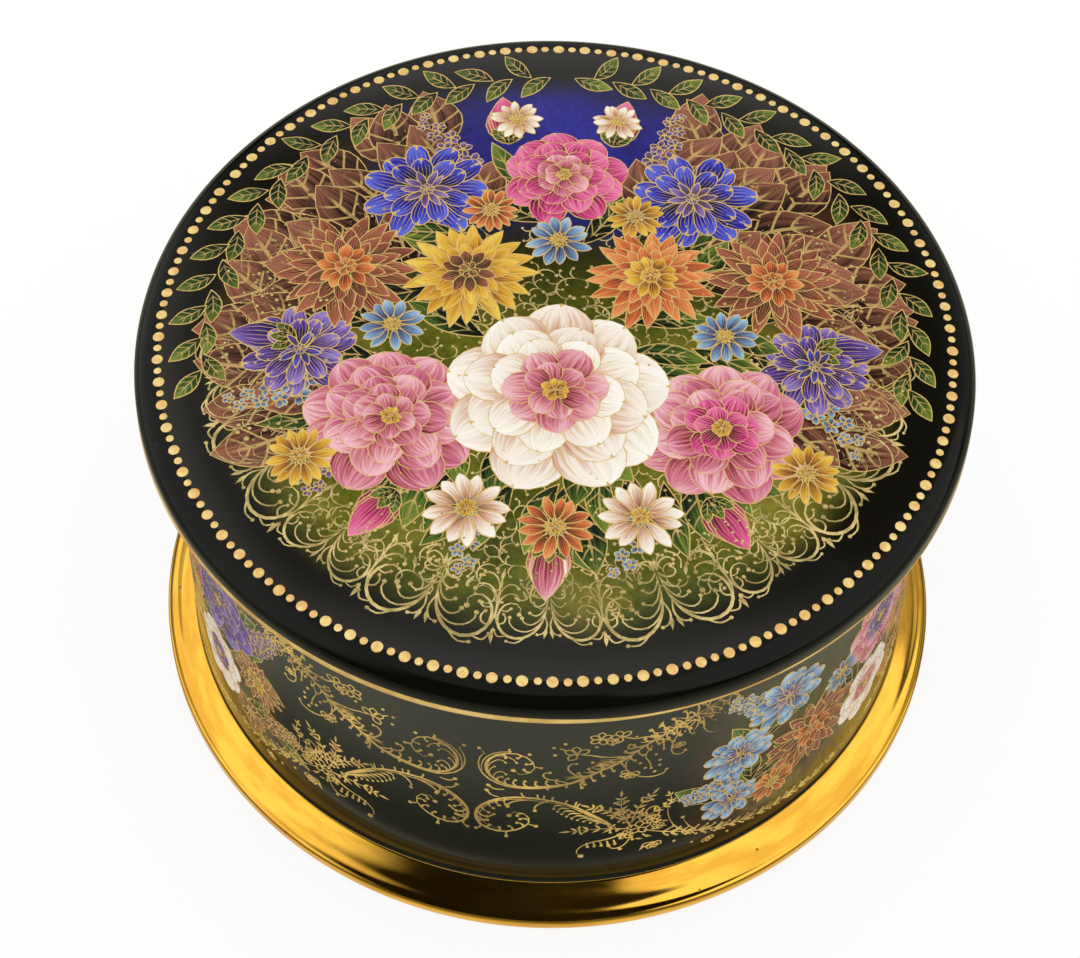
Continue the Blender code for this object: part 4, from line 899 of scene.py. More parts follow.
class Painter:
    """Paints strokes, beads and petals on one surface, and makes each piece of them one mesh."""

    PILE = 0.55  # how much of a lift the paint really stands up
    ROOT = 0.03  # how far a stroke reaches into the glaze, in millimetres
    SLAB = 0.025  # how thick a petal is, in millimetres
    BEND = 0.42  # how far a stroke turns in one of its lengths, in radians
    LENGTH = 5  # how long one of its lengths may be, in millimetres

    def __init__(self, placings: Iterable[Placing], height: float = 0.05) -> None:
        """Takes where a drawing goes.

        Args:
            placings: each turns flat places and a lift above the glaze into millimetres in the frame.
                A drawing is painted once for each.
            height: how high a stroke's ridge stands, in millimetres.
        """
        self.placings = list(placings)
        self.height = height
        self.laid: list[tuple[Template, np.ndarray, np.ndarray, int]] = []

    def lay(self, template: Template, flat: np.ndarray, lift: np.ndarray, marks: np.ndarray | None = None,
            slot: int = 0) -> None:
        """Lays one shape at every placing.

        Args:
            template: the shape.
            flat: its vertices' flat places, in millimetres.
            lift: their heights over the glaze.
            marks: the values of PETAL_MARKS for each vertex.
            slot: the material's place on the piece.
        """
        if marks is None:
            marks = np.tile([0.5, 0.0, 1.0, 0.0], (len(flat), 1))
        for placing in self.placings:
            self.laid.append((template, placing(flat[:, 0], flat[:, 1], lift) * MM, marks, slot))

    def stroke(self, path: np.ndarray, width: float, taper: Taper = Taper.BOTH, rings: int = 0) -> None:
        """Draws a pen stroke along a path.

        Args:
            path: its middle line.
            width: its greatest width.
            taper: how the width runs.
            rings: how many lengths it has, or 0 for as many as its bends need.
        """
        steps = np.diff(path, axis=0)
        if not rings:
            bend = float(np.abs(np.diff(np.unwrap(np.arctan2(steps[:, 1], steps[:, 0])))).sum())
            run = np.linalg.norm(steps, axis=1).sum()
            rings = int(np.clip(2 + round(bend / self.BEND) + run / self.LENGTH, 3, 48))
        template = stroke_template(rings)
        c = template.coords
        share, side, up = c[:, 2] + 0.5, c[:, 0] / 0.866, (c[:, 1] + 0.5) / 1.5
        here, way = walk(path, share)
        swell = np.interp(share, np.linspace(0, 1, 5), taper.value)
        half = 0.5 * width * swell
        flat = here + np.stack([-way[:, 1], way[:, 0]], 1) * (side * half)[:, None]
        self.lay(template, flat, up * (self.ROOT + self.height * swell) - self.ROOT)

    def bead(self, x: float, y: float, radius: float, sides: int = 6, rise: float = 0.45, slot: int = 0,
             lift: float = 0.0) -> None:
        """Sets a raised bead.

        Args:
            x, y: its middle.
            radius: its radius.
            sides: how many sides it has.
            rise: its height, as a share of its radius.
            slot: the material's place on the piece.
            lift: how far it is raised over other paint.
        """
        template = bead_template(sides)
        c = template.coords
        flat = np.array([x, y]) + c[:, :2] * radius
        self.lay(template, flat, self.PILE * lift + c[:, 2] * radius * rise, slot=slot)

    def petal(self, x: float, y: float, angle: float, length: float, width: float, blunt: float = 1.0,
              notch: float = 0.0, curl: float = 0.0, lift: float = 0.02, tone: float = 0.0,
              cells: tuple[int, int] = (6, 7)) -> None:
        """Paints a petal or leaf.

        Args:
            x, y: its root.
            angle: the way it points, in degrees.
            length: how long it is.
            width: how wide it is.
            blunt: 1 for a leaf's pointed end, towards 0.4 for a round one.
            notch: how deep its tip is notched, as a share of its length.
            curl: how far its middle line bends, in degrees.
            lift: how far its face is over the glaze.
            tone: lighter above 0, darker below.
            cells: how many cells it has across and along.
        """
        template = petal_template(*cells)
        c = template.coords
        across, along = c[:, 0], 1 - (0.5 * (1 - c[:, 1])) ** (1.7 - 0.7 * blunt)
        fullest = 0.55 + 0.75 * blunt * 0.6 + (1 - blunt) * 0.9
        swell = np.clip(np.sin(math.pi * np.clip(along, 0, 1) ** fullest), 0, 1)
        half = 0.5 * width * swell ** (0.45 + 0.55 * blunt) + 0.02
        run = length * (along * (1 - notch * np.exp(-(across / 0.45) ** 2) * along ** 3))
        bend = math.radians(curl) * along
        u = across * half * np.cos(bend) + run * np.sin(bend) * 0.6
        v = run * np.cos(bend * 0.5) + across * half * np.sin(bend) * -0.6
        dx, dy = polar(1.0, angle)
        flat = np.stack([x + v * dx - u * dy, y + v * dy + u * dx], 1)
        rim = np.minimum(half * (1 - np.abs(across)), np.minimum(along, 1.02 - along) * length)
        marks = np.stack([along, across, rim, np.full(len(c), tone)], 1)
        self.lay(template, flat, (self.PILE * lift + self.SLAB) * c[:, 2] - self.SLAB, marks)

    def finish(self, name: str, finishes: Sequence[Finish], part: Part) -> bpy.types.Object:
        """Makes what was painted one piece.

        Args:
            name: the piece's name.
            finishes: its finishes, in the order of the slots.
            part: the part that it rides on.

        Returns:
            The piece.
        """
        bm = bmesh.new()
        slots = []
        for template, coords, _, slot in self.laid:
            a, b, c = (coords[template.corners[:, k]] for k in range(3))
            centre = coords.mean(0)
            volume = np.einsum("ij,ij->i", a - centre, np.cross(b - centre, c - centre)).sum()
            shape = template.mesh if volume > 0 else template.turned
            bm.from_mesh(shape)
            slots.append(np.full(len(shape.polygons), slot))
        mesh = as_mesh(name, bm)
        places, values = (np.concatenate([row[k] for row in self.laid]).astype(np.float32) for k in (1, 2))
        mesh.vertices.foreach_set("co", places.ravel())
        mesh.polygons.foreach_set("material_index", np.concatenate(slots).astype(np.int32))
        for k, label in enumerate(PETAL_MARKS):
            mesh.attributes.new(label, "FLOAT", "POINT").data.foreach_set("value", values[:, k].copy())
        mesh.update()
        return dress(name, mesh, finishes, part)


# Porcelain


class Zone(Enum):
    """Where a finish lies on a turned piece, as its material slot."""

    PAINTED = 0
    EDGE = 1
    GILT = 2
    INSIDE = 3
    BARE = 4


ZonedPoint = tuple[float, float, Zone]


def zoned(zone: Zone, *points: Point) -> list[ZonedPoint]:
    """Radii and heights, each with the zone of the face that starts there."""
    return [(r, z, zone) for r, z in points]


def swept(points: Sequence[Point], closed: bool, steps: int) -> bmesh.types.BMesh:
    """Sweeps a line round the box's axis.

    Args:
        points: the line's radii and heights.
        closed: whether it ends where it starts.
        steps: how many steps there are in the turn.

    Returns:
        The shape.
    """
    bm = bmesh.new()
    verts = [bm.verts.new((r * MM, 0, z * MM)) for r, z in points]
    edges = [bm.edges.new(pair) for pair in zip(verts, verts[1:] + verts[:1] * closed)]
    bmesh.ops.spin(bm, geom=verts + edges, cent=(0, 0, 0), axis=(0, 0, 1), angle=math.tau, steps=steps,
                   use_merge=True, use_duplicate=False)
    bmesh.ops.remove_doubles(bm, verts=bm.verts[:], dist=1e-7)
    bmesh.ops.recalc_face_normals(bm, faces=bm.faces[:])
    for face in bm.faces:
        face.smooth = True
    return bm


def turned(profile: Sequence[ZonedPoint], steps: int) -> bmesh.types.BMesh:
    """Turns a profile into a solid whose faces know their zones.

    Args:
        profile: the line. It may start and end at radius 0, and is closed if it does neither.
        steps: how many steps there are in the turn.

    Returns:
        The shape, closed and facing out.
    """
    closed = profile[0][0] > 0 or profile[-1][0] > 0
    bm = swept([(r, z) for r, z, _ in profile], closed, steps)
    spans = list(zip(profile, profile[1:] + profile[:1] * closed))
    places = np.array([[(p[0] + q[0]) / 2, (p[1] + q[1]) / 2] for p, q in spans])
    for face in bm.faces:
        corners = np.array([(math.hypot(v.co.x, v.co.y) / MM, v.co.z / MM) for v in face.verts])
        at = corners.mean(0)
        if len(corners) == 3:
            at = 0.5 * (corners[corners[:, 0].argmin()] + corners[corners[:, 0].argmax()])
        nearest = int(np.argmin(np.linalg.norm(places - at, axis=1)))
        face.material_index = spans[nearest][0][2].value
    if bm.calc_volume(signed=True) < 0:
        bmesh.ops.reverse_faces(bm, faces=bm.faces[:])
    return bm


def curve_through(points: Sequence[Point], per_span: int) -> list[Point]:
    """A profile's corner points joined by a smooth line."""
    return [tuple(p) for p in smooth_path(points, per_span)]


@dataclass
class Lid:
    """The lift-off lid: a low painted dome, its dotted border and its gilded lower edge."""

    radius: float = 54.0
    dots_plane: float = 58.027
    flat_radius: float = 50.8
    painted_radius: float = 49.2
    dome: float = 2.2
    lower: float = 53.527
    side: float = 2.3
    thick: float = 3.0
    flange: float = 45.1
    flange_wall: float = 3.4
    flange_low: float = 48.327
    steps: int = 240
    edge_steps: int = 360
    dots: int = 176
    dot_ring: float = 50.85
    first_dot: float = 13.0
    large_dot: float = 0.74
    small_dot: float = 0.52

    def top_line(self) -> list[Point]:
        """The lid's outer line.

        Returns:
            Its radii and heights, from its middle down to its lower edge.
        """
        dome = [(self.flat_radius * s, self.dots_plane + self.dome * (1 - s * s))
                for s in np.linspace(0, 1, 15)]
        shoulder = curve_through([(self.flat_radius, self.dots_plane), (52.0, 57.78), (52.72, 57.48),
                                  (53.42, 56.92), (53.86, 56.28), (self.radius, self.lower + self.side)], 3)
        return dome + shoulder[1:]

    def surface(self, x: np.ndarray, y: np.ndarray, lift: np.ndarray) -> np.ndarray:
        """Places on the lid's top.

        Args:
            x, y: the flat places.
            lift: how far they are over the glaze.

        Returns:
            The places in millimetres.
        """
        line = np.array(self.top_line())
        return np.stack([x, y, np.interp(np.hypot(x, y), line[:, 0], line[:, 1]) + lift], 1)

    def shell(self) -> bpy.types.Object:
        """The porcelain of the lid.

        Returns:
            The piece.
        """
        outer, low, flange, foot = self.radius, self.lower, self.flange, self.flange_low
        inner, under = flange - self.flange_wall, self.dots_plane - self.thick
        profile = [(r, z, Zone.PAINTED if r < self.painted_radius else Zone.EDGE) for r, z in self.top_line()]
        profile += zoned(Zone.EDGE, (outer, low + 0.3), (outer - 0.1, low + 0.1), (outer - 0.3, low))
        profile += zoned(Zone.BARE, (flange, low), (flange, foot + 0.6), (flange - 0.2, foot + 0.2),
                         (flange - 0.6, foot))
        profile += zoned(Zone.INSIDE, (inner + 0.4, foot), (inner + 0.1, foot + 0.1), (inner, foot + 0.4),
                         (inner, under - 1.0), (inner * 0.985, under - 0.4))
        profile += zoned(Zone.INSIDE, *((inner * 0.97 * s, under + self.dome * (1 - s * s))
                                        for s in (0.96, 0.85, 0.6, 0.3, 0.0)))
        mesh = as_mesh("lid_shell", turned(profile, self.steps))
        piece = dress("lid_shell", mesh, (LID_GLAZE, SHADED_EDGE_GLAZE, EDGE_GOLD, ROOM_GLAZE, ROOM_GLAZE), Part.LID)
        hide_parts("lid")
        return piece

    def gold_edge(self) -> bpy.types.Object:
        """The hand-gilded band round the lid's lower edge, broad on one side and fine on the other.

        Returns:
            The piece.
        """
        low, high = self.lower + 0.02, self.lower + 1.0
        inner, outer = self.radius - 0.12, self.radius + 0.03
        bm = swept([(inner, low - 0.05), (outer, low + 0.12), (outer, high), (inner, high + 0.08)], True,
                   self.edge_steps)
        for vert in bm.verts:
            if vert.co.z > (high - 0.2) * MM:
                turn = math.degrees(math.atan2(vert.co.x, -vert.co.y))
                vert.co.z += (self.edge_width(turn) - 1.0) * MM
        return dress("lid_gold_edge", as_mesh("lid_gold_edge", bm), (EDGE_GOLD,), Part.LID)

    @staticmethod
    def edge_width(turn: float) -> float:
        """The gold band's width.

        Args:
            turn: where it is, in degrees from the front to the right.

        Returns:
            The width in millimetres.
        """
        t = math.radians(turn)
        broad = 1.15 + 0.05 * math.sin(3 * t + 0.6) + 0.03 * math.sin(11 * t)
        fine = 0.48 + 0.04 * math.sin(5 * t)
        share = 1 / (1 + math.exp(-(turn - 7) / 4.0)) * (1 / (1 + math.exp((turn - 120) / 12.0)))
        return broad * (1 - share) + fine * share

    def dotted_border(self) -> bpy.types.Object:
        """The ring of large and small gold dots, each a little off its place.

        Returns:
            The piece.
        """
        rng = random.Random(11)
        painter = Painter([self.surface])
        for k in range(self.dots):
            turn = math.radians(self.first_dot) - math.tau * k / self.dots
            radius = (self.small_dot if k % 2 else self.large_dot) * rng.uniform(0.95, 1.04)
            place = self.dot_ring + rng.uniform(-0.05, 0.05)
            turn += rng.uniform(-0.0008, 0.0008)
            painter.bead(place * math.cos(turn), place * math.sin(turn), radius, sides=14, rise=0.09)
        return painter.finish("lid_gold_dots", (DOT_GOLD,), Part.LID)


@dataclass
class Case:
    """The porcelain case: wall, trinket room and flared, gilded foot."""

    wall: float = 49.5
    mouth: float = 45.5
    foot: float = 53.6
    foot_ring: tuple[float, float] = (50.4, 53.0)
    foot_top: float = 5.6
    rim: float = 53.227
    rounding: float = 0.4
    floor: float = 34.127
    fillet: float = 2.0
    ceiling: float = 30.727
    room: float = 45.0
    rebate: float = 46.7
    rebate_top: float = 6.75
    ledge: float = 11.4
    bush: tuple[float, float, float] = (32.740, -27.258, 1.8)
    steps: int = 240
    axis: float = -9.18
    repeats: int = 3

    def profile(self) -> list[ZonedPoint]:
        """The case's closed line.

        Returns:
            Its points, from its floor's middle out, down and in again.
        """
        mouth, wall, rim, floor, foot = self.mouth, self.wall, self.rim, self.floor, self.foot
        e, f = self.rounding, self.fillet
        line = zoned(Zone.INSIDE, (0, floor), (mouth * 0.5, floor), (mouth - f, floor))
        line += zoned(Zone.INSIDE, *((mouth - f + f * math.sin(math.radians(a)),
                                      floor + f - f * math.cos(math.radians(a))) for a in (30, 60)))
        line += zoned(Zone.INSIDE, (mouth, floor + f), (mouth, floor + 10), (mouth, rim - e))
        line += zoned(Zone.BARE, (mouth + 0.12, rim - 0.12), (mouth + e, rim))
        line += zoned(Zone.PAINTED, (wall - e, rim), (wall - 0.12, rim - 0.12), (wall, rim - e))
        heights = np.linspace(rim - 3, self.foot_top + 1.5, 12)
        line += zoned(Zone.PAINTED, *((wall, float(z)) for z in heights))
        cove = curve_through([(wall, self.foot_top), (wall + 0.8, 5.0), (51.5, 4.1), (52.3, 3.3), (52.9, 2.9),
                              (53.3, 2.4), (53.52, 2.2), (foot, 2.0)], 3)
        line += zoned(Zone.GILT, *cove, (foot, 1.3), (foot, 0.6), (foot - 0.15, 0.22))
        return line + zoned(Zone.BARE, (self.foot_ring[1], 0.0), (self.foot_ring[0], 0.0), (50.0, 0.6),
                            (self.rebate, self.rebate_top), (self.rebate, self.ledge),
                            (self.room, self.ledge), (self.room, self.ceiling - e),
                            (self.room - e, self.ceiling), (0, self.ceiling))

    def shell(self) -> bpy.types.Object:
        """The porcelain of the case, with the plunger's hole through its floor.

        Returns:
            The piece.
        """
        x, y, radius = (MM * size for size in self.bush)
        drill = bmesh.new()
        bmesh.ops.create_cone(drill, cap_ends=True, segments=48, radius1=radius, radius2=radius, depth=0.02,
                              matrix=Matrix.Translation((x, y, self.floor * MM)))
        meshes = as_mesh("case_solid", turned(self.profile(), self.steps)), as_mesh("bush_drill", drill)
        body, tool = (new_object(mesh.name, mesh) for mesh in meshes)
        cut = body.modifiers.new("bush_hole", "BOOLEAN")
        cut.operation, cut.object, cut.solver = "DIFFERENCE", tool, "EXACT"
        mesh = bpy.data.meshes.new_from_object(body.evaluated_get(bpy.context.evaluated_depsgraph_get()))
        mesh.name = "case_shell"
        for thing, data in zip((body, tool), meshes):
            bpy.data.objects.remove(thing)
            bpy.data.meshes.remove(data)
        piece = dress("case_shell", mesh, (WALL_GLAZE, SHADED_EDGE_GLAZE, FOOT_GOLD, ROOM_GLAZE, BARE), Part.CASE)
        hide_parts("box_body")
        return piece

    def surface(self, x: np.ndarray, y: np.ndarray, lift: np.ndarray) -> np.ndarray:
        """Places on the wall.

        Args:
            x: arc length from the front, to the right.
            y: height over the table.
            lift: how far they are over the glaze.

        Returns:
            The places in millimetres.
        """
        turn = x / self.wall
        return np.stack([(self.wall + lift) * np.sin(turn), -(self.wall + lift) * np.cos(turn), y], 1)

    def placing(self, share: float, way: int = 1) -> Placing:
        """Where a drawing goes on the wall.

        Args:
            share: its place round the wall, in repeats of the ornament from the axis of the first scrolls.
            way: 1, or -1 for a mirrored drawing.

        Returns:
            The placing.
        """
        middle = self.axis + share * (math.tau * self.wall / self.repeats)
        return lambda x, y, lift: self.surface(middle + way * x, y, lift)


# Gold penwork


class Penwork:
    """Gold scrolls and sprays drawn through a painter."""

    BALL = 1.15  # how much larger than asked for a ball is drawn
    TICK = 1.15  # how much wider than a plain line a tick is

    def __init__(self, painter: Painter, line: float) -> None:
        """Takes the painter, and the width of a plain line."""
        self.painter = painter
        self.line = line

    def end_ball(self, path: np.ndarray, radius: float) -> None:
        """Sets a ball at a path's end, if it has one."""
        if radius:
            self.painter.bead(*path[-1], self.BALL * radius)

    def comma(self, root: Point, way: float, length: float, curl: float, ball: float = 0.0,
              width: float = 0.0) -> np.ndarray:
        """Draws a short curling stroke, with a ball at its end if it has one.

        Args:
            root: where it starts.
            way: the way it sets out, in degrees.
            length: how long it is.
            curl: how far it turns on its way, in degrees, to the left.
            ball: the ball's radius, or 0.
            width: its width, or 0 for a plain line.

        Returns:
            Its middle line.
        """
        n = 9
        turn = np.radians(way + curl * np.linspace(0, 1, n) ** 1.2)
        steps = np.stack([np.cos(turn), np.sin(turn)], 1) * length / (n - 1)
        path = np.concatenate([[root], root + np.cumsum(steps[:-1], axis=0)])
        taper = Taper.OUT if ball == 0 else Taper.BOTH if width > self.line else Taper.EVEN
        self.painter.stroke(path, width or self.line, taper, rings=3 + round(abs(curl) / 40))
        self.end_ball(path, ball)
        return path

    def line_through(self, points: Sequence[Point], width: float = 0.0, taper: Taper = Taper.EVEN,
                     ball: float = 0.0) -> np.ndarray:
        """Draws a smooth line through points, with a ball at its end if it has one.

        Args:
            points: the points.
            width: its width, or 0 for a plain line.
            taper: how the width runs.
            ball: the ball's radius, or 0.

        Returns:
            Its middle line.
        """
        path = smooth_path(points)
        self.painter.stroke(path, width or self.line, taper)
        self.end_ball(path, ball)
        return path

    def ticks(self, path: np.ndarray, start: float, end: float, count: int, side: int, length: float,
              curl: float = 55.0, slope: float = 50.0, ball: float = 0.17, grow: float = 0.0) -> None:
        """Draws a row of commas along a stem.

        Args:
            path: the stem.
            start, end: the stretch of it that has them, as shares.
            count: how many there are.
            side: 1 for its left, -1 for its right.
            length: how long they are.
            curl: how far each turns, in degrees.
            slope: how far each leans from the stem, in degrees.
            ball: the balls' radius.
            grow: how much longer the last is than the first, as a share.
        """
        for k, (place, heading) in enumerate(headings(path, np.linspace(start, end, count))):
            reach = length * (1 + grow * k / max(1, count - 1)) * (1 + 0.12 * math.sin(5.1 * k))
            self.comma(place, heading + side * slope, reach, side * curl, ball, self.TICK * self.line)

    def loops(self, x: float, y: float, size: float, angles: Sequence[float]) -> None:
        """Draws a flower of open loops round a middle.

        Args:
            x, y: the middle.
            size: how long a loop is.
            angles: the ways that the loops point, in degrees.
        """
        c = np.array([x, y])
        for angle in angles:
            d = np.array(polar(1.0, angle))
            n = np.array([-d[1], d[0]])
            half, out = n * size * 0.34, c + d * size * 0.55
            ring = smooth_path([c, out + half, c + d * size, out - half, c], 5)
            self.painter.stroke(ring, self.line * 0.9, Taper.EVEN, rings=8)
        self.painter.bead(x, y, self.line * 0.9)

    def leaf(self, root: Point, angle: float, length: float, width: float) -> None:
        """Draws one small solid leaf.

        Args:
            root: where it grows.
            angle: the way it points, in degrees.
            length, width: its size.
        """
        path = np.stack([root, root + np.array(polar(1.0, angle)) * length])
        self.painter.stroke(path, width, Taper.LEAF, rings=5)

    def sprig(self, points: Sequence[Point], leaves: int, length: float, width: float) -> np.ndarray:
        """Draws a stem with leaves on both sides and one at its end.

        Args:
            points: the points that the stem passes.
            leaves: how many pairs of leaves it has.
            length, width: a leaf's size.

        Returns:
            The stem's middle line.
        """
        path = self.line_through(points, taper=Taper.OUT)
        for k, (place, heading) in enumerate(headings(path, np.linspace(0.3, 0.9, leaves))):
            for side in (-1, 1):
                self.leaf(place, heading + side * 48, length * (1 - 0.3 * k / max(1, leaves)), width)
        end, heading = headings(path, [1.0])[0]
        self.leaf(end, heading, length * 1.1, width)
        return path


@dataclass
class WallScrolls:
    """The paired gold scrolls between the wall's panels, and the garland that runs under each panel.

    A drawing's x is measured from the axis between two scrolls, and its y is the height over the table.
    """

    case: Case
    line: float = 0.37

    def build(self) -> None:
        """Draws all blocks, each as one piece."""
        for block in range(self.case.repeats):
            pen = Penwork(Painter([self.case.placing(block, way) for way in (1, -1)], height=0.06), self.line)
            for draw in (self.upper_scroll, self.lower_scroll, self.upper_spray, self.lower_spray,
                         self.garland):
                draw(pen)
            pen.painter.finish(f"wall_scrolls_{block + 1}", (WALL_PEN,), Part.CASE)

    def upper_scroll(self, pen: Penwork) -> None:
        """The upper spiral, its comb of fine leaves and its stem.

        Args:
            pen: the pen that draws it.
        """
        stem = pen.line_through(
            [(27.6, 42.4), (25.5, 41.2), (23.5, 40.0), (21.8, 38.8), (20.5, 37.5), (19.4, 36.3),
             (18.0, 35.2), (16.0, 34.0), (14.0, 32.6), (12.4, 31.5), (10.0, 30.9), (8.0, 30.5),
             (6.0, 30.35), (4.6, 30.6), (3.4, 31.2), (2.4, 32.4), (1.9, 33.8), (1.9, 35.4), (2.5, 36.9),
             (3.6, 38.0), (4.9, 38.5), (6.2, 38.3), (7.2, 37.5), (7.8, 36.5), (8.0, 35.4), (7.7, 34.4),
             (7.0, 33.7), (6.2, 33.4), (5.5, 33.75), (5.3, 34.4)], 0.62, Taper.BOTH, ball=0.34)
        pen.line_through(
            [(16.0, 33.7), (13.2, 31.7), (10.0, 30.55), (7.0, 30.1), (4.6, 30.2), (3.0, 30.9), (1.9, 31.9),
             (1.15, 33.2), (0.85, 34.8), (1.0, 36.4), (1.6, 37.7), (1.55, 38.5), (0.95, 38.8)], 0.46,
            Taper.BOTH, ball=0.28)
        for points in (
                [(1.8, 33.4), (1.7, 35.0), (2.3, 36.7), (3.6, 37.6), (5.0, 37.3), (5.7, 36.3)],
                [(1.9, 32.9), (2.1, 34.7), (2.7, 35.9), (3.6, 36.7), (4.3, 36.1)],
                [(2.2, 32.4), (2.3, 33.9), (2.9, 34.8)],
                [(2.7, 31.8), (3.0, 33.1), (3.8, 33.8), (4.4, 33.2)],
                [(1.3, 33.4), (1.3, 35.2), (1.9, 36.9), (3.2, 38.3), (4.9, 38.9)]):
            pen.line_through(points, 0.24, Taper.EVEN, ball=0.2)
        pen.ticks(stem, 0.42, 0.60, 7, -1, 1.9, 125, 22, 0.24)
        pen.ticks(stem, 0.77, 0.93, 4, -1, 1.3, 130, 30, 0.24)
        pen.ticks(stem, 0.36, 0.46, 3, 1, 0.8, -10, 70, 0.2)
        pen.line_through([(13.9, 32.0), (13.8, 31.1), (14.0, 30.4)], ball=0.28)
        pen.comma((4.75, 38.6), 88, 0.8, 0, 0.2)
        pen.comma((8.0, 35.5), -12, 0.8, 10, 0.26)
        pen.painter.bead(7.3, 38.6, 0.32)
        pen.line_through(
            [(12.6, 31.5), (10.8, 32.3), (9.7, 32.6), (9.1, 33.3), (9.2, 34.1), (9.9, 34.3)], ball=0.26)
        pen.line_through([(13.9, 32.9), (12.8, 33.9), (12.15, 35.1), (12.4, 36.2), (13.2, 36.4)], ball=0.22)
        for k in range(5):
            pen.line_through(
                [(15.2 - 0.2 * k, 33.4 - 0.12 * k), (13.2 - 0.25 * k, 33.2 - 0.12 * k),
                 (11.6 + 0.1 * k, 33.3 - 0.3 * k)], 0.24, Taper.LEAF)
        pen.ticks(stem, 0.04, 0.36, 11, 1, 1.5, 80, 34, 0.27)
        pen.ticks(stem, 0.02, 0.34, 11, -1, 1.7, 105, 30, 0.27)
        for place, heading in headings(stem, [0.03 + 0.028 * k for k in range(12)]):
            pen.comma(place, heading - 28, 2.0, -35, 0.0, 0.5)

    def lower_scroll(self, pen: Penwork) -> None:
        """The lower spiral, its filled leaf and its inner commas.

        Args:
            pen: the pen that draws it.
        """
        stem = pen.line_through(
            [(18.8, 19.0), (17.6, 20.9), (16.0, 22.8), (14.5, 24.4), (13.0, 25.7), (11.0, 26.9),
             (9.0, 27.5), (7.0, 27.8), (5.0, 27.5), (3.3, 26.7), (1.9, 25.4), (0.9, 23.9), (0.5, 22.3),
             (0.65, 20.7), (1.4, 19.4), (2.7, 18.65), (4.2, 18.6), (5.7, 19.25), (6.9, 20.4), (7.45, 21.6),
             (7.3, 22.9), (6.6, 23.8), (5.8, 24.0), (5.05, 23.6), (4.85, 22.9)], 0.66, Taper.BOTH,
            ball=0.34)
        pen.line_through(
            [(13.5, 25.0), (11.2, 26.4), (8.8, 27.0), (6.6, 27.3), (4.6, 26.9), (3.0, 26.0), (1.8, 24.6),
             (1.05, 22.9), (1.15, 21.2), (2.0, 19.8), (3.4, 19.2)], 0.22, Taper.BOTH)
        for k in range(9):
            s = k / 8
            root = (18.2 - 6.4 * s, 19.9 + 6.0 * s)
            tip = (16.2 - 5.6 * s - 0.5 * math.sin(3 * s), 20.9 + 2.7 * s + 1.6 * s * s)
            middle = (0.5 * (root[0] + tip[0]) - 0.35, 0.5 * (root[1] + tip[1]) + 0.5)
            pen.line_through([root, middle, tip], 0.62 - 0.16 * s, Taper.LEAF)
            pen.painter.bead(*tip, 0.24)
        pen.line_through([(17.9, 20.4), (16.0, 22.5), (14.2, 24.2), (12.4, 25.6)], 0.9, Taper.LEAF)
        pen.line_through([(9.9, 27.2), (8.7, 26.4), (8.1, 25.4), (8.15, 24.6)], ball=0.3)
        pen.line_through([(7.6, 27.3), (6.0, 26.9), (4.9, 26.1), (4.65, 25.2)], ball=0.3)
        pen.ticks(stem, 0.20, 0.38, 5, -1, 1.1, 70, 30, 0.18)
        pen.ticks(stem, 0.43, 0.61, 6, 1, 2.3, 118, 10, 0.27)
        pen.line_through([(0.7, 22.6), (1.5, 21.9), (2.3, 22.0), (2.9, 22.8)], ball=0.24)
        pen.ticks(stem, 0.64, 0.93, 7, 1, 1.5, 125, 24, 0.26)
        pen.line_through([(0.75, 20.6), (1.15, 19.5), (1.0, 18.8), (0.55, 18.5)], ball=0.28)
        pen.comma((4.5, 18.6), -88, 1.1, 0, 0.3)
        pen.comma((7.4, 21.0), -25, 1.0, 10, 0.32)
        pen.comma((9.2, 27.5), 85, 0.9, 0, 0.14)
        pen.comma((13.2, 25.6), 80, 1.2, 0, 0.12)
        pen.line_through([(2.05, 28.5), (2.3, 27.9), (2.8, 27.5), (3.5, 27.3)])
        pen.line_through([(2.3, 29.9), (2.6, 29.4), (3.3, 29.2), (4.2, 29.4)])
        pen.painter.bead(2.15, 30.0, 0.36)
        pen.painter.bead(1.95, 28.7, 0.36)

    def upper_spray(self, pen: Penwork) -> None:
        """The palmette under the lid's edge, its small flowers and its tendrils.

        Args:
            pen: the pen that draws it.
        """
        bush = pen.line_through(
            [(21.8, 38.8), (24.6, 40.9), (27.5, 42.8), (30.5, 44.4), (33.2, 45.4)], 0.62, Taper.OUT)
        for side in (1, -1):
            pen.ticks(bush, 0.1, 0.96, 8, side, 3.0, 62, 38, 0.32, -0.3)
            pen.ticks(bush, 0.14, 0.86, 6, side, 1.4, 80, 56, 0.25)
        c = np.array([28.7, 43.0])
        for k in range(10):
            size = 2.2 + 0.6 * math.sin(k * 2.1)
            d = np.array(polar(1.0, -196 + 216 * k / 9))
            n = np.array([-d[1], d[0]])
            pen.line_through(
                [c + d * 0.7, c + d * size * 0.8 + n * 0.35, c + d * (size + 1.0)], 0.34, Taper.LEAF)
            pen.painter.bead(*(c + d * (size + 1.25) + n * 0.2), 0.17)
        pen.line_through([(23.2, 40.4), (21.9, 41.0), (20.6, 41.0), (19.4, 41.6), (18.6, 42.3)])
        pen.painter.bead(20.6, 41.5, 0.22)
        pen.loops(18.7, 42.0, 1.5, (40, 110, 175, 250))
        pen.loops(16.1, 42.0, 1.5, (20, 85, 150, 215, 290))
        pen.loops(17.6, 40.4, 1.2, (60, 120))
        pen.leaf((23.4, 42.4), 70, 1.6, 0.7)
        pen.line_through([(19.9, 36.9), (18.4, 37.2), (16.8, 37.4), (15.0, 38.2), (13.9, 38.5)])
        pen.loops(13.2, 38.7, 1.75, (30, 95, 150, 235))
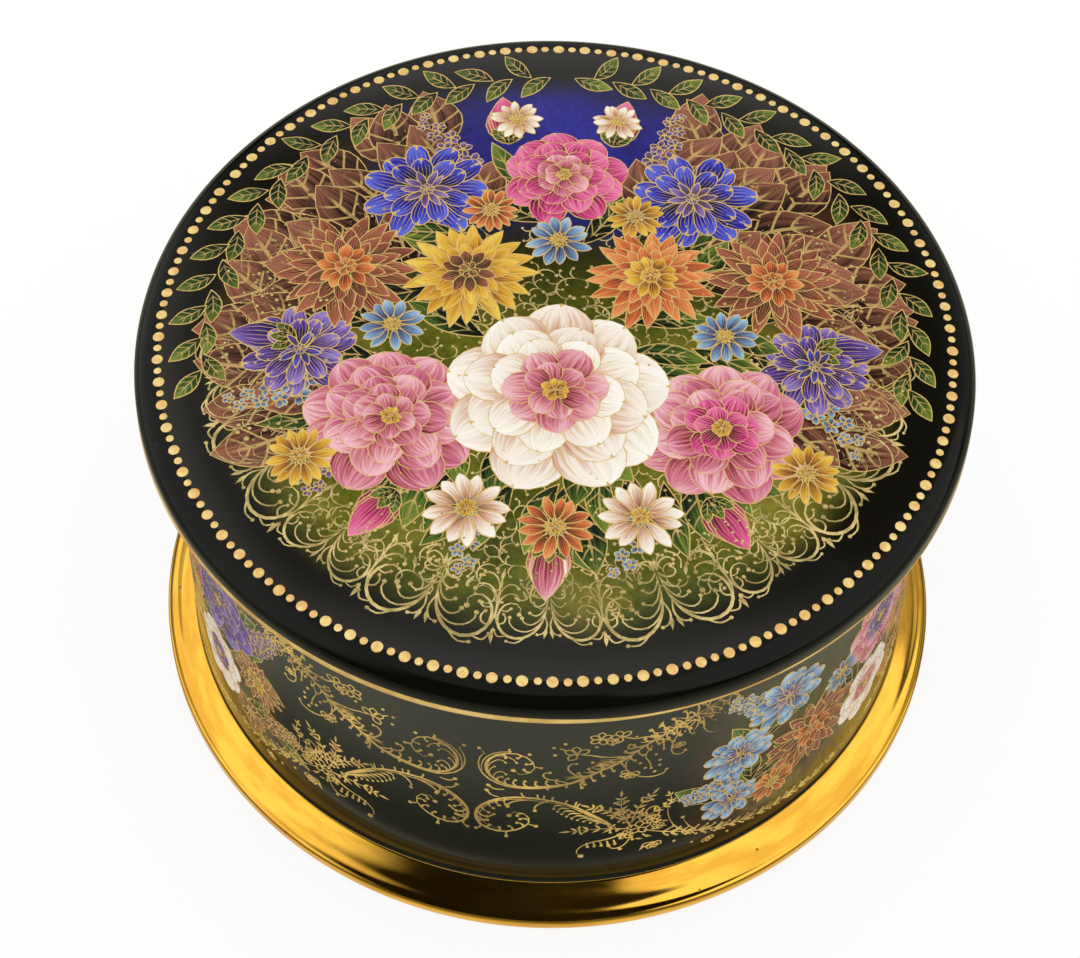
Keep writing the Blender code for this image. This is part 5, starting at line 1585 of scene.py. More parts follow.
        for x, y in ((10.3, 40.4), (10.45, 38.6), (11.7, 41.3), (15.6, 40.2), (15.2, 36.5)):
            pen.painter.bead(x, y, 0.3)
        pen.line_through([(11.0, 40.2), (11.9, 39.6)])
        for k in range(5):
            pen.line_through(
                [(19.0 - 0.45 * k, 36.3 - 0.3 * k), (17.6 - 0.4 * k, 36.7 - 0.3 * k),
                 (16.0 - 0.35 * k, 36.9 - 0.5 * k)], 0.34, Taper.LEAF)
        pen.line_through([(20.6, 38.6), (19.6, 38.9), (19.8, 39.8)], 0.3, ball=0.2)
        pen.line_through(
            [(20.3, 37.1), (19.5, 35.6), (19.5, 34.0), (20.0, 32.9), (21.3, 31.5), (23.0, 30.8),
             (24.5, 31.0), (24.9, 31.9)], 0.3, ball=0.25)
        pen.loops(20.1, 32.7, 1.35, (200, 250, 290, 340, 150))
        pen.line_through(
            [(22.8, 38.6), (22.1, 37.2), (22.0, 35.8), (22.6, 34.4), (22.8, 33.0)], 0.28, ball=0.2)
        for x, y in ((23.3, 36.2), (21.3, 34.8), (23.9, 34.6), (23.9, 33.4), (22.0, 33.4), (23.3, 32.0)):
            pen.painter.bead(x, y, 0.3)
        pen.line_through(
            [(26.4, 40.6), (25.6, 38.6), (25.3, 36.6), (25.7, 35.2), (26.7, 34.7), (27.2, 35.4)], 0.28,
            ball=0.26)
        pen.loops(26.3, 37.6, 1.2, (230, 270, 310))
        pen.line_through([(24.0, 40.0), (24.2, 38.5), (24.3, 37.1)], 0.3, ball=0.2)
        pen.line_through([(29.4, 41.2), (29.6, 39.2), (30.3, 37.9), (31.4, 37.3)], 0.4, Taper.OUT)
        pen.line_through([(27.6, 41.0), (27.6, 39.4), (28.3, 38.5)], 0.34, Taper.OUT)
        pen.line_through(
            [(33.3, 45.6), (32.7, 43.9), (33.1, 42.2), (34.1, 41.6)], 0.34, Taper.BOTH, ball=0.2)
        pen.line_through([(34.0, 46.0), (33.9, 44.4), (34.6, 43.4)], 0.3, Taper.BOTH, ball=0.2)

    def lower_spray(self, pen: Penwork) -> None:
        """The flower spray at the lower scroll's root.

        Args:
            pen: the pen that draws it.
        """
        for points, leaves in (
                ([(20.8, 18.6), (19.9, 21.2), (19.3, 23.6), (19.2, 27.0)], 5),
                ([(20.8, 20.0), (21.6, 23.6), (23.3, 26.2)], 4),
                ([(20.0, 21.0), (18.0, 23.4), (15.2, 25.2)], 4),
                ([(21.9, 19.6), (23.8, 21.6), (25.4, 22.4)], 3),
                ([(20.4, 18.4), (18.0, 19.1), (15.4, 19.5), (12.9, 19.2)], 4)):
            stem = pen.sprig(points, leaves, 1.5, 0.62)
            for side in (1, -1):
                pen.ticks(stem, 0.3, 0.85, leaves - 2, side, 1.0, 60, 70, 0.23)
        for x, y, r in ((21.8, 18.2, 1.7), (20.0, 16.9, 1.1), (23.6, 19.7, 1.1), (24.4, 17.6, 0.9)):
            pen.loops(x, y, r, (15, 87, 159, 231, 303))
        for angle in range(8, 368, 40):
            dx, dy = polar(1.9, angle)
            pen.comma((21.8 + dx, 18.2 + dy), angle, 1.1, 50, 0.25)
        pen.line_through(
            [(19.6, 17.2), (17.6, 16.4), (15.6, 16.0), (14.2, 15.0), (13.65, 13.6), (14.3, 12.6)], 0.5,
            Taper.OUT, ball=0.42)
        for x in (14.9, 15.8, 16.7, 17.6, 18.5):
            pen.comma((x, 16.0), -70, 1.1, -20, 0.25)
        pen.line_through(
            [(20.9, 16.6), (20.2, 14.6), (19.2, 13.7), (18.2, 13.9), (17.9, 14.7)], 0.3, ball=0.3)
        pen.comma((19.2, 13.8), -60, 0.5, 0, 0.3)
        pen.line_through([(21.0, 20.4), (22.0, 21.9), (22.2, 22.9)], 0.28, ball=0.2)
        pen.line_through(
            [(22.2, 21.0), (22.9, 22.6), (23.9, 22.9), (24.5, 21.6), (24.3, 20.6)], 0.3, ball=0.2)
        pen.line_through([(20.3, 21.0), (18.9, 21.6), (18.2, 22.5)], 0.28, ball=0.26)
        for x, y in ((24.8, 18.6), (24.6, 17.4), (21.4, 15.4), (22.6, 15.6)):
            pen.leaf((x, y), -20, 1.2, 0.5)
        pen.loops(23.8, 13.4, 1.5, (200, 250, 290, 330))
        pen.leaf((22.7, 13.0), 240, 1.3, 0.55)

    def garland(self, pen: Penwork) -> None:
        """The leafy stem that sags under a panel, up to the panel's middle.

        Args:
            pen: the pen that draws it.
        """
        stem = pen.line_through(
            [(22.5, 17.3), (24.5, 16.0), (27.0, 14.6), (29.5, 13.3), (32.0, 12.1), (35.0, 10.95),
             (38.5, 10.0), (43.0, 9.3), (47.5, 8.9), (51.84, 8.75)], 0.5, Taper.EVEN)
        pen.ticks(stem, 0.10, 0.97, 20, 1, 1.6, 40, 40, 0.22, -0.4)
        pen.ticks(stem, 0.10, 0.95, 18, -1, 1.5, -35, 44, 0.22, -0.4)
        for place, heading in headings(stem, np.linspace(0.14, 0.92, 11)):
            pen.leaf(place, heading + 28, 1.9, 0.72)
            pen.leaf(place, heading - 28, 1.8, 0.72)
        pen.line_through(
            [(28.6, 13.8), (26.9, 16.0), (26.0, 18.4), (25.6, 20.8), (25.7, 22.3), (25.0, 23.0)], 0.32,
            Taper.OUT, ball=0.24)
        pen.sprig([(25.8, 22.4), (26.0, 23.8), (25.7, 25.0)], 2, 1.0, 0.5)
        pen.line_through([(29.9, 13.3), (28.5, 15.8), (27.8, 18.0)], 0.3, Taper.OUT, ball=0.3)
        for x, y in ((26.9, 12.2), (29.5, 10.3), (31.6, 9.8), (34.8, 9.3)):
            pen.painter.bead(x, y, 0.28)
        pen.loops(31.8, 10.0, 1.1, (230, 280, 330))


# Painted flowers


def petals(name: str, root: tuple[int, int, int], middle: tuple[int, int, int], tip: tuple[int, int, int],
           veins: float = 3.0, **looks: float) -> FlowerPaint:
    """The paint of one hue.

    Args:
        name: the finish's name.
        root, middle, tip: its colours as they show on a screen.
        veins: how many gold veins a petal has.
        looks: other values of the finish.

    Returns:
        The finish.
    """
    return FlowerPaint(name, paint(*root), paint(*middle), paint(*tip), veins, **looks)


class Hue(Enum):
    """The families of colour in the painting."""

    WHITE = petals("white_petals", (206, 150, 120), (240, 228, 214), (252, 248, 240), spread=0.35)
    PINK = petals("pink_petals", (150, 44, 74), (206, 108, 134), (240, 190, 196), 4.0)
    MAGENTA = petals("magenta_petals", (120, 16, 62), (196, 48, 118), (236, 130, 170), 4.0)
    RUSSET = petals("russet_petals", (58, 22, 16), (122, 58, 42), (178, 104, 74), stipple=0.35)
    COBALT = petals("cobalt_petals", (14, 10, 70), (34, 32, 160), (92, 104, 214))
    YELLOW = petals("yellow_petals", (150, 84, 14), (214, 158, 36), (240, 206, 84), stipple=0.2)
    ORANGE = petals("orange_petals", (130, 40, 16), (200, 92, 44), (236, 160, 92))
    VIOLET = petals("violet_petals", (36, 20, 78), (84, 54, 142), (150, 128, 196))
    LEAF = petals("leaves", (18, 30, 8), (58, 84, 22), (124, 140, 48), 5.0, slant=1.0, spread=0.5)
    RUSSET_LEAF = petals("russet_leaves", (48, 22, 14), (112, 66, 46), (158, 98, 74), 5.0, slant=1.0,
                         spread=0.5, stipple=0.3)
    SKY = petals("light_blue_petals", (34, 66, 120), (88, 138, 186), (176, 206, 222))


@dataclass
class Bouquet:
    """Flowers painted by kind through one painter for each hue.

    In every method x and y are a flower's middle or root, size is its radius, and lift is how far it is
    over the glaze.
    """

    placings: list[Placing]
    seed: int
    painters: dict[Hue, Painter] = field(default_factory=dict)
    blooms: list[tuple[float, float, float]] = field(default_factory=list)

    def __post_init__(self) -> None:
        """Starts the random draws."""
        self.rng = random.Random(self.seed)

    def painter(self, hue: Hue) -> Painter:
        """The painter of one hue, made when it is first asked for.

        Args:
            hue: the petals' colour.

        Returns:
            The painter.
        """
        if hue not in self.painters:
            self.painters[hue] = Painter(self.placings, height=0.04)
        return self.painters[hue]

    def ring(self, hue: Hue, x: float, y: float, count: int, root: float, length: float, width: float,
             lift: float, blunt: float = 0.3, notch: float = 0.0, start: float = 0.0,
             cells: tuple[int, int] = (5, 6), lean: float = 0.0) -> None:
        """Paints a ring of petals round a middle.

        Args:
            hue: their colour.
            x, y, lift: where the ring is.
            count: how many there are.
            root: how far from the middle they start.
            length, width: their size.
            blunt, notch: their tips.
            start: the first one's angle.
            cells: the petals' cells.
            lean: how far a side nearer the viewer is stretched, for a flower seen aslant.
        """
        self.blooms.append((x, y, root + 0.85 * length))
        draw = self.rng.uniform
        for k in range(count):
            a = start + 360 * k / count + draw(-0.18, 0.18) * 360 / count
            dx, dy = polar(root, a)
            reach = length * draw(0.92, 1.06) * (1 - lean * math.sin(math.radians(a)))
            rise = lift + 0.0045 * (k % 4) + 0.002 * (k == count - 1)
            self.painter(hue).petal(x + dx, y + dy, a, reach, width * draw(0.92, 1.08), blunt, notch,
                                    draw(-16, 16), rise, draw(-1, 1), cells)

    def middle(self, x: float, y: float, radius: float, lift: float, hue: Hue = Hue.YELLOW) -> None:
        """Paints a flower's middle: a boss of short petals under rings of gold beads.

        Args:
            x, y, lift: where it is.
            radius: its radius.
            hue: the petals' colour.
        """
        self.ring(hue, x, y, 7, 0.0, radius, radius * 0.8, lift, 0.4, cells=(3, 3))
        gold = self.painter(Hue.YELLOW)
        for share, count in ((0.0, 1), (0.42, 6), (0.8, 11)):
            for k in range(count):
                t = math.tau * k / count + share
                gold.bead(x + radius * share * math.cos(t), y + radius * share * math.sin(t),
                          0.12 + 0.05 * radius / 2, slot=1, lift=lift + 0.02)

    def peony(self, hue: Hue, x: float, y: float, size: float, lift: float, heart: Hue) -> None:
        """Paints a full, many-petalled bloom, whose heart may have another colour.

        Args:
            hue, heart: its colours.
            x, y, size, lift: where it is and its radius.
        """
        rings = ((hue, 9, 0.24, 0.76, 0.66, 0.22, 0.06, 10, 7, 0.10),
                 (hue, 8, 0.16, 0.66, 0.56, 0.22, 0.06, 30, 6, 0.10),
                 (hue, 7, 0.10, 0.54, 0.46, 0.22, 0.05, 55, 6, 0.10),
                 (heart, 7, 0.05, 0.42, 0.38, 0.25, 0.0, 12, 5, 0.0),
                 (heart, 6, 0.02, 0.30, 0.28, 0.3, 0.0, 40, 4, 0.0))
        for k, (tint, count, root, length, width, blunt, notch, start, cells, lean) in enumerate(rings):
            self.ring(tint, x, y, count, size * root, size * length, size * width, lift + 0.022 * k,
                      blunt, notch, start, (cells, cells), lean)
        self.middle(x, y, size * 0.13, lift + 0.11)

    def dahlia(self, hue: Hue, x: float, y: float, size: float, lift: float, heart: Hue) -> None:
        """Paints a bloom of many narrow petals.

        Args:
            hue, heart: its colours.
            x, y, size, lift: where it is and its radius.
        """
        for k, (share, count) in enumerate(((1.0, 17), (0.8, 15), (0.6, 13), (0.42, 10))):
            self.ring(hue if k < 3 else heart, x, y, count, size * 0.08, size * (share - 0.08),
                      size * 0.26 * (0.6 + 0.4 * share), lift + 0.02 * k, 0.75, 0.0, 9.0 * k, (3, 6), 0.08)
        self.middle(x, y, size * 0.17, lift + 0.085, heart)

    def cornflower(self, hue: Hue, x: float, y: float, size: float, lift: float, heart: Hue) -> None:
        """Paints a bloom of notched, trumpet-shaped florets.

        Args:
            hue, heart: its colours.
            x, y, size, lift: where it is and its radius.
        """
        self.ring(hue, x, y, 11, size * 0.2, size * 0.8, size * 0.42, lift,
                  0.12, 0.26, 5, (6, 5), 0.08)
        self.ring(hue, x, y, 9, size * 0.1, size * 0.62, size * 0.34, lift + 0.022,
                  0.12, 0.24, 22, (6, 5), 0.08)
        self.ring(heart, x, y, 10, 0.0, size * 0.4, size * 0.14, lift + 0.044, 0.7, 0.0, 9, (3, 4))
        self.middle(x, y, size * 0.12, lift + 0.066, heart)

    def daisy(self, hue: Hue, x: float, y: float, size: float, lift: float, count: int = 12) -> None:
        """Paints a small open flower.

        Args:
            hue: its colour.
            x, y, size, lift: where it is and its radius.
            count: how many petals it has.
        """
        self.ring(hue, x, y, count, size * 0.18, size * 0.8, size * (4.4 / count), lift,
                  0.5, 0.0, 8, (3, 5), 0.06)
        self.middle(x, y, size * 0.24, lift + 0.02)

    def bud(self, hue: Hue, x: float, y: float, angle: float, size: float, lift: float, second: Hue) -> None:
        """Paints a half-open bud seen from its side.

        Args:
            hue, second: its colours.
            x, y, size, lift: where it is and its length.
            angle: the way it points, in degrees.
        """
        for side, tint in ((-24, hue), (24, hue), (-9, second), (9, second), (0, hue)):
            self.painter(tint).petal(x, y, angle + side, size * (1 - abs(side) * 0.006), size * 0.46, 0.75,
                                     curl=-side * 1.6, lift=lift + 0.012 + 0.006 * (24 - abs(side)) / 6,
                                     tone=self.rng.uniform(-0.6, 0.8), cells=(4, 6))
        for side in (-34, 34, 0):
            self.painter(Hue.LEAF).petal(x, y, angle + side, size * 0.42, size * 0.2, 0.9, lift=lift + 0.06,
                                         tone=self.rng.uniform(-0.4, 0.8), cells=(3, 4))

    def leaf(self, x: float, y: float, angle: float, length: float, width: float, lift: float,
             hue: Hue = Hue.LEAF) -> None:
        """Paints one leaf."""
        self.painter(hue).petal(x, y, angle, length, width, 0.9, 0.0, self.rng.uniform(-34, 34), lift,
                                self.rng.uniform(-1, 1), (5, 8))

    def spray(self, hue: Hue, x: float, y: float, angle: float, length: float, size: float,
              lift: float) -> None:
        """Paints a stem of small florets that lessen towards its end.

        Args:
            hue: the florets' colour.
            x, y, lift: where the stem starts.
            angle, length: the way that it points, in degrees, and how long it is.
            size: the first floret's radius.
        """
        t = math.radians(angle)
        bend = math.radians(self.rng.uniform(-28, 28))
        florets = 9
        for k in range(florets):
            s = (k + 1) / florets
            a = t + bend * s
            off = (0.75 if k % 2 else -0.75) * size * (1 - 0.5 * s)
            px = x + length * s * math.cos(a) - off * math.sin(a)
            py = y + length * s * math.sin(a) + off * math.cos(a)
            self.ring(hue, px, py, 5, 0.0, size * (1 - 0.45 * s), size * 0.75 * (1 - 0.45 * s),
                      lift + 0.006 * (k % 3), 0.35, 0.0, self.rng.uniform(0, 72), (3, 3))
            self.painter(Hue.YELLOW).bead(px, py, 0.16, slot=1, lift=lift + 0.02)

    def finish(self, prefix: str, part: Part) -> None:
        """Makes each hue's petals one piece."""
        for hue, painter in sorted(self.painters.items(), key=lambda item: item[0].name):
            painter.finish(f"{prefix}_{hue.name.lower()}", (hue.value, LID_PEN), part)


@dataclass
class LidPainting:
    """The lid's bouquet, the gold curls over its ground and the gold scroll border round it.

    Both leave the top of the lid free: curls keep below the height curl_top in the picture, and
    scallops below the angle whose sine is border_top.
    """

    lid: Lid
    ring: float = 42.6
    pairs: int = 9
    large_scallop: float = 1.12
    small_scallop: float = 0.88
    border_top: float = 0.16
    laurel_ring: float = 45.2
    laurel_leaves: int = 30
    curl_places: int = 210
    curl_reach: float = 40.5
    curl_top: float = 18.0
    golden_angle: float = 2.39996

    def build(self) -> None:
        """Paints the bouquet, then the curls, then the border."""
        self.bouquet()
        self.border()

    def bouquet(self) -> None:
        """The flowers, from the leaves at the back to the blooms in front."""
        b = Bouquet([self.lid.surface], seed=5)
        self.wreath(b)
        self.foliage(b)
        for hue, angle, reach in (
                (Hue.VIOLET, 66, 30), (Hue.VIOLET, 114, 30), (Hue.SKY, 196, 31), (Hue.VIOLET, 213, 28),
                (Hue.SKY, 344, 31), (Hue.VIOLET, 327, 28), (Hue.SKY, 250, 26), (Hue.SKY, 291, 26)):
            b.spray(hue, *polar(reach, angle), angle, 11.5, 1.7, 0.075)
        for hue, second, angle, reach in (
                (Hue.MAGENTA, Hue.PINK, 78, 33), (Hue.MAGENTA, Hue.PINK, 102, 33),
                (Hue.PINK, Hue.WHITE, 270, 31), (Hue.VIOLET, Hue.COBALT, 182, 33),
                (Hue.VIOLET, Hue.COBALT, 358, 33),
                (Hue.MAGENTA, Hue.PINK, 232, 31), (Hue.MAGENTA, Hue.PINK, 308, 31)):
            b.bud(hue, *polar(reach, angle), angle + b.rng.uniform(-8, 8), 9.0, 0.085, second)
        for kind, hue, x, y, size, lift, heart in (
                (b.cornflower, Hue.COBALT, -17.5, 24.0, 8.6, 0.10, Hue.VIOLET),
                (b.cornflower, Hue.COBALT, 17.5, 23.5, 8.6, 0.11, Hue.VIOLET),
                (b.peony, Hue.MAGENTA, 0.5, 27.0, 8.4, 0.12, Hue.PINK),
                (b.cornflower, Hue.VIOLET, -32.5, -3.0, 7.6, 0.10, Hue.COBALT),
                (b.cornflower, Hue.VIOLET, 33.0, -3.5, 7.4, 0.10, Hue.COBALT),
                (b.dahlia, Hue.RUSSET, -27.5, 10.5, 9.4, 0.12, Hue.ORANGE),
                (b.dahlia, Hue.RUSSET, 28.0, 10.0, 9.4, 0.12, Hue.ORANGE),
                (b.dahlia, Hue.YELLOW, -11.5, 10.0, 8.8, 0.16, Hue.RUSSET),
                (b.dahlia, Hue.ORANGE, 12.0, 10.0, 8.6, 0.15, Hue.YELLOW),
                (b.peony, Hue.PINK, -20.5, -13.5, 11.2, 0.14, Hue.PINK),
                (b.peony, Hue.PINK, 21.0, -14.0, 11.0, 0.14, Hue.MAGENTA),
                (b.peony, Hue.WHITE, 0.0, -9.0, 14.4, 0.18, Hue.PINK)):
            kind(hue, x, y, size, lift, heart)
        for x, y, size, hue in (
                (-10.5, -27.0, 5.6, Hue.WHITE), (11.0, -27.5, 5.4, Hue.WHITE), (-6.0, 37.0, 3.6, Hue.WHITE),
                (7.5, 37.0, 3.4, Hue.WHITE), (0.0, 15.5, 4.4, Hue.SKY), (-21.0, 1.0, 4.4, Hue.SKY),
                (21.5, 0.5, 4.4, Hue.SKY), (0.5, -29.5, 4.8, Hue.ORANGE), (-31.5, -19.5, 4.6, Hue.YELLOW),
                (31.5, -20.0, 4.6, Hue.YELLOW), (-9.0, 20.5, 3.8, Hue.ORANGE), (10.0, 20.0, 3.8, Hue.YELLOW)):
            b.daisy(hue, x, y, size, 0.165, 14 if hue in (Hue.ORANGE, Hue.YELLOW) else 12)
        self.curls(b.blooms)
        b.finish("lid_flowers", Part.LID)

    def curls(self, blooms: Sequence[tuple[float, float, float]]) -> None:
        """Loose gold curls over the ground between the blooms.

        Args:
            blooms: the flowers' middles and reaches, which are left free.
        """
        pen = Penwork(Painter([self.lid.surface], height=0.045), 0.27)
        rng = random.Random(8)
        for k in range(self.curl_places):
            reach = self.curl_reach * math.sqrt((k + 0.5) / self.curl_places)
            x, y = reach * math.cos(self.golden_angle * k), reach * math.sin(self.golden_angle * k)
            if y > self.curl_top or any(math.hypot(x - a, y - b) < 0.9 * c for a, b, c in blooms):
                continue
            heading, way = rng.uniform(0, 360), rng.choice((-1, 1))
            stem = pen.comma((x, y), heading, rng.uniform(6.0, 8.0), way * 235, 0.28, 0.42)
            pen.ticks(stem, 0.08, 0.55, 4, -way, 2.0, 125, 24, 0.23)
            pen.ticks(stem, 0.2, 0.5, 2, way, 1.3, 110, 30, 0.2)
            stem = pen.comma((x, y), heading + 170, rng.uniform(3.4, 4.6), way * 190, 0.24, 0.36)
            pen.ticks(stem, 0.15, 0.5, 2, -way, 1.5, 120, 26, 0.2)
        pen.painter.finish("lid_gold_curls", (LID_PEN,), Part.LID)

    def wreath(self, b: Bouquet) -> None:
        """Autumn leaves to both sides of the top, and a laurel edging outside them.

        Args:
            b: the bouquet that they belong to.
        """
        rows = ((34.5, 15, 12.5, 7.4, 94), (28.0, 13, 13.0, 7.0, 88), (21.0, 7, 12.0, 6.2, 50))
        for side in (-1, 1):
            for row, (root, count, length, width, spread) in enumerate(rows):
                for k in range(count):
                    turn = 90 + side * (26 + spread * (k + 0.4 * row) / count + b.rng.uniform(-1.5, 1.5))
                    b.leaf(*polar(root, turn), turn + side * b.rng.uniform(-34, 22),
                           length * b.rng.uniform(0.92, 1.04), width, 0.03 + 0.022 * row + 0.0014 * k,
                           Hue.RUSSET_LEAF)
            for k in range(self.laurel_leaves):
                turn = 90 + side * (2 + 3.3 * k)
                out = 1 if k % 2 else -1
                b.leaf(*polar(self.laurel_ring, turn), turn + side * (82 - 34 * out), 5.6, 2.4,
                       0.058 + 0.0006 * k)

    @staticmethod
    def foliage(b: Bouquet) -> None:
        """The green leaves behind the blooms.

        Args:
            b: the bouquet that they belong to.
        """
        draw = b.rng.uniform
        for k in range(30):
            a = 176 + 188 * k / 29 + draw(-4, 4)
            b.leaf(*polar(draw(21, 28), a), a + draw(-30, 30), draw(9.5, 13.5), draw(3.2, 4.8),
                   0.05 + 0.0012 * k)
        for k in range(34):
            t, r = draw(0, math.tau), draw(8, 25)
            b.leaf(r * math.cos(t), r * math.sin(t), math.degrees(t) + draw(-60, 60), draw(8, 12),
                   draw(3, 4.8), 0.088 + 0.0009 * k)

    def round_lid(self, turn: float, way: int, size: float) -> Placing:
        """Wraps a strip round the lid.

        Args:
            turn: where its start is, in radians.
            way: 1, or -1 for a mirrored strip.
            size: how much the strip is enlarged.

        Returns:
            The placing.
        """
        def place(x: np.ndarray, y: np.ndarray, lift: np.ndarray) -> np.ndarray:
            """Places of one strip."""
            a, r = turn + way * size * x / self.ring, self.ring + size * y
            return self.lid.surface(r * np.cos(a), r * np.sin(a), lift)
        return place

    def border(self) -> None:
        """A scalloped edging of gold scrolls round the lower part of the lid, large and small by turns."""
        placings = []
        for k in range(2 * self.pairs):
            size = self.large_scallop if k % 2 else self.small_scallop
            turn = math.tau * (k // 2 + (0.5 if k % 2 else 0.0)) / self.pairs - math.pi / 2
            if math.sin(turn) < self.border_top:
                placings += [self.round_lid(turn, way, size) for way in (1, -1)]
        pen = Penwork(Painter(placings, height=0.05), 0.28)
        self.scroll(pen)
        pen.painter.finish("lid_scroll_border", (LID_PEN,), Part.LID)

    @staticmethod
    def scroll(pen: Penwork) -> None:
        """Half of one scallop, from its axis outwards.

        Args:
            pen: the pen that draws it.
        """
        half = 7.45
        pen.line_through([(0.15, -4.4), (0.3, -2.2), (0.9, 0.2), (2.1, 2.1), (3.9, 3.1), (5.7, 2.7),
                          (6.9, 1.2), (7.0, -0.7), (6.2, -2.0), (4.9, -2.3), (4.0, -1.5), (4.15, -0.6)],
                         0.66, Taper.BOTH, 0.36)
        for points, ball in (
                (((0.5, -0.7), (1.4, 0.9), (2.8, 1.9), (4.3, 1.8), (5.3, 0.9), (5.4, 0.0)), 0.3),
                (((0.4, -1.6), (1.2, -0.1), (2.3, 0.8), (3.3, 0.6), (3.7, -0.1)), 0.3),
                (((0.3, -2.6), (1.0, -1.2), (1.9, -0.6), (2.7, -1.0)), 0.28),
                (((0.2, -3.4), (0.9, -2.4), (1.7, -2.1), (2.3, -2.6)), 0.26),
                (((0.15, -4.4), (0.9, -3.6), (1.9, -3.5), (2.4, -4.1), (2.0, -4.7)), 0.28),
                (((6.9, 1.3), (6.1, 0.9), (5.95, 0.1), (6.3, -0.4)), 0.24),
                (((6.9, -1.0), (6.0, -0.9), (5.4, -1.4)), 0.24),
                (((6.8, 1.5), (7.3, 0.4), (7.4, -1.2), (7.0, -2.8), (5.9, -3.7), (4.7, -3.5), (4.5, -2.9)),
                 0.3),
                (((7.3, -2.0), (7.35, -3.6), (6.6, -4.9), (5.4, -5.2), (4.7, -4.6)), 0.28),
                (((3.0, 2.8), (4.2, 3.8), (5.4, 3.7)), 0.24), (((5.6, 2.9), (6.6, 3.1), (7.2, 2.3)), 0.24),
                (((0.5, -0.6), (0.2, 0.8), (0.7, 2.0), (1.5, 2.3)), 0.24),
                (((0.2, -4.6), (0.9, -5.6), (2.1, -5.9), (2.7, -5.3)), 0.26),
                (((3.1, -4.0), (3.6, -5.0), (3.2, -6.0), (2.3, -6.6)), 0.26)):
            pen.line_through(points, 0.34, Taper.EVEN, ball)
        for x, y, angle in ((0.1, -4.6, -80), (0.3, 1.2, 80), (half - 0.1, 1.8, 84), (half - 0.1, -4.4, -84),
                            (3.2, -3.0, -60)):
            pen.leaf((x, y), angle, 1.7, 0.8)


@dataclass
class WallPanels:
    """The three flower panels round the wall, each in its own mix of colours."""

    case: Case
    leaves: int = 26
    mixes: tuple[tuple[Hue, ...], ...] = ((Hue.SKY, Hue.RUSSET, Hue.PINK, Hue.ORANGE, Hue.WHITE),
                                          (Hue.PINK, Hue.COBALT, Hue.WHITE, Hue.YELLOW, Hue.MAGENTA),
                                          (Hue.MAGENTA, Hue.YELLOW, Hue.VIOLET, Hue.RUSSET, Hue.WHITE))

    def build(self) -> None:
        """Paints the panels, each about its middle and from the table up."""
        for k, (first, second, third, fourth, fifth) in enumerate(self.mixes):
            b = Bouquet([self.case.placing(k + 0.5)], seed=20 + k)
            draw = b.rng.uniform
            for j in range(self.leaves):
                b.leaf(draw(-20, 20), draw(15, 36), draw(-10, 190), draw(7, 10), draw(2.6, 4.0),
                       0.012 + 0.0015 * j)
            for hue, x, y, angle, length, size in (
                    (first, -17, 22, 168, 7, 1.9), (first, -12, 36, 118, 9, 1.9),
                    (third, 17, 34, 40, 9, 1.8), (fourth, 19, 18, 12, 7, 1.7)):
                b.spray(hue, x, y, angle, length, size, 0.07)
            for kind, hue, x, y, size, lift, heart in (
                    (b.cornflower, first, -16.5, 29.0, 5.6, 0.09, Hue.COBALT),
                    (b.cornflower, first, -9.5, 37.0, 6.2, 0.10, Hue.VIOLET),
                    (b.cornflower, first, -17.0, 18.0, 4.6, 0.11, Hue.COBALT),
                    (b.dahlia, second, -4.0, 23.5, 8.2, 0.12, fourth),
                    (b.peony, third, 9.5, 34.5, 8.2, 0.13, Hue.VIOLET),
                    (b.peony, fifth, 8.0, 20.0, 6.4, 0.14, third),
                    (b.dahlia, fourth, 18.0, 26.0, 5.2, 0.13, second)):
                kind(hue, x, y, size, lift, heart)
            b.daisy(fourth, -10.5, 16.5, 3.8, 0.15, 14)
            b.daisy(first, 0.8, 31.5, 3.4, 0.16)
            b.daisy(fourth, 16.0, 15.5, 3.4, 0.15)
            b.finish(f"wall_panel_{k + 1}", Part.CASE)


# Movement


METALS: dict[str, Finish] = {
    "brass": Metal("movement_brass", paint(214, 176, 96), paint(158, 116, 52)),
    "steel": Metal("movement_steel", paint(190, 190, 192), paint(128, 126, 122)),
    "blued_steel": Metal("blued_steel", paint(54, 66, 104), paint(34, 36, 58)),
    "nickel": Metal("nickel_plate", paint(206, 200, 188), paint(160, 152, 138), Gloss.BURNISHED),
    "cast_zinc": Metal("cast_zinc", paint(168, 166, 160), paint(118, 116, 110), Gloss.DULL, cast=0.8),
    "black_plastic": moulded("black_plastic", paint(24, 24, 25)),
    "nylon": moulded("white_nylon", paint(214, 210, 198)),
    "painted_porcelain": SHADED_EDGE_GLAZE,
    "black_porcelain": ROOM_GLAZE,
}


@dataclass
class Movement:
    """The CAD nodes that stay as they are, each in its metal or plastic."""

    record: dict

    def dress(self) -> None:
        """Gives every node that still shows its material."""
        slots = {row["node"]: row["material_slot"] for row in self.record["subparts"]}
        for name, node in sorted(frame["nodes"].items()):
            if node.hide_render:
                continue
            node.data.materials.clear()
            node.data.materials.append(METALS[slots[name]].material())
            LOG.info("%s: %s", name, slots[name])


# Studio


@dataclass(frozen=True)
class Window:
    """A bright stretch of the room: in degrees, where it is from the front, its height, reach and blur."""

    turn: float
    rise: float
    reach: float
    blur: float
    strength: float


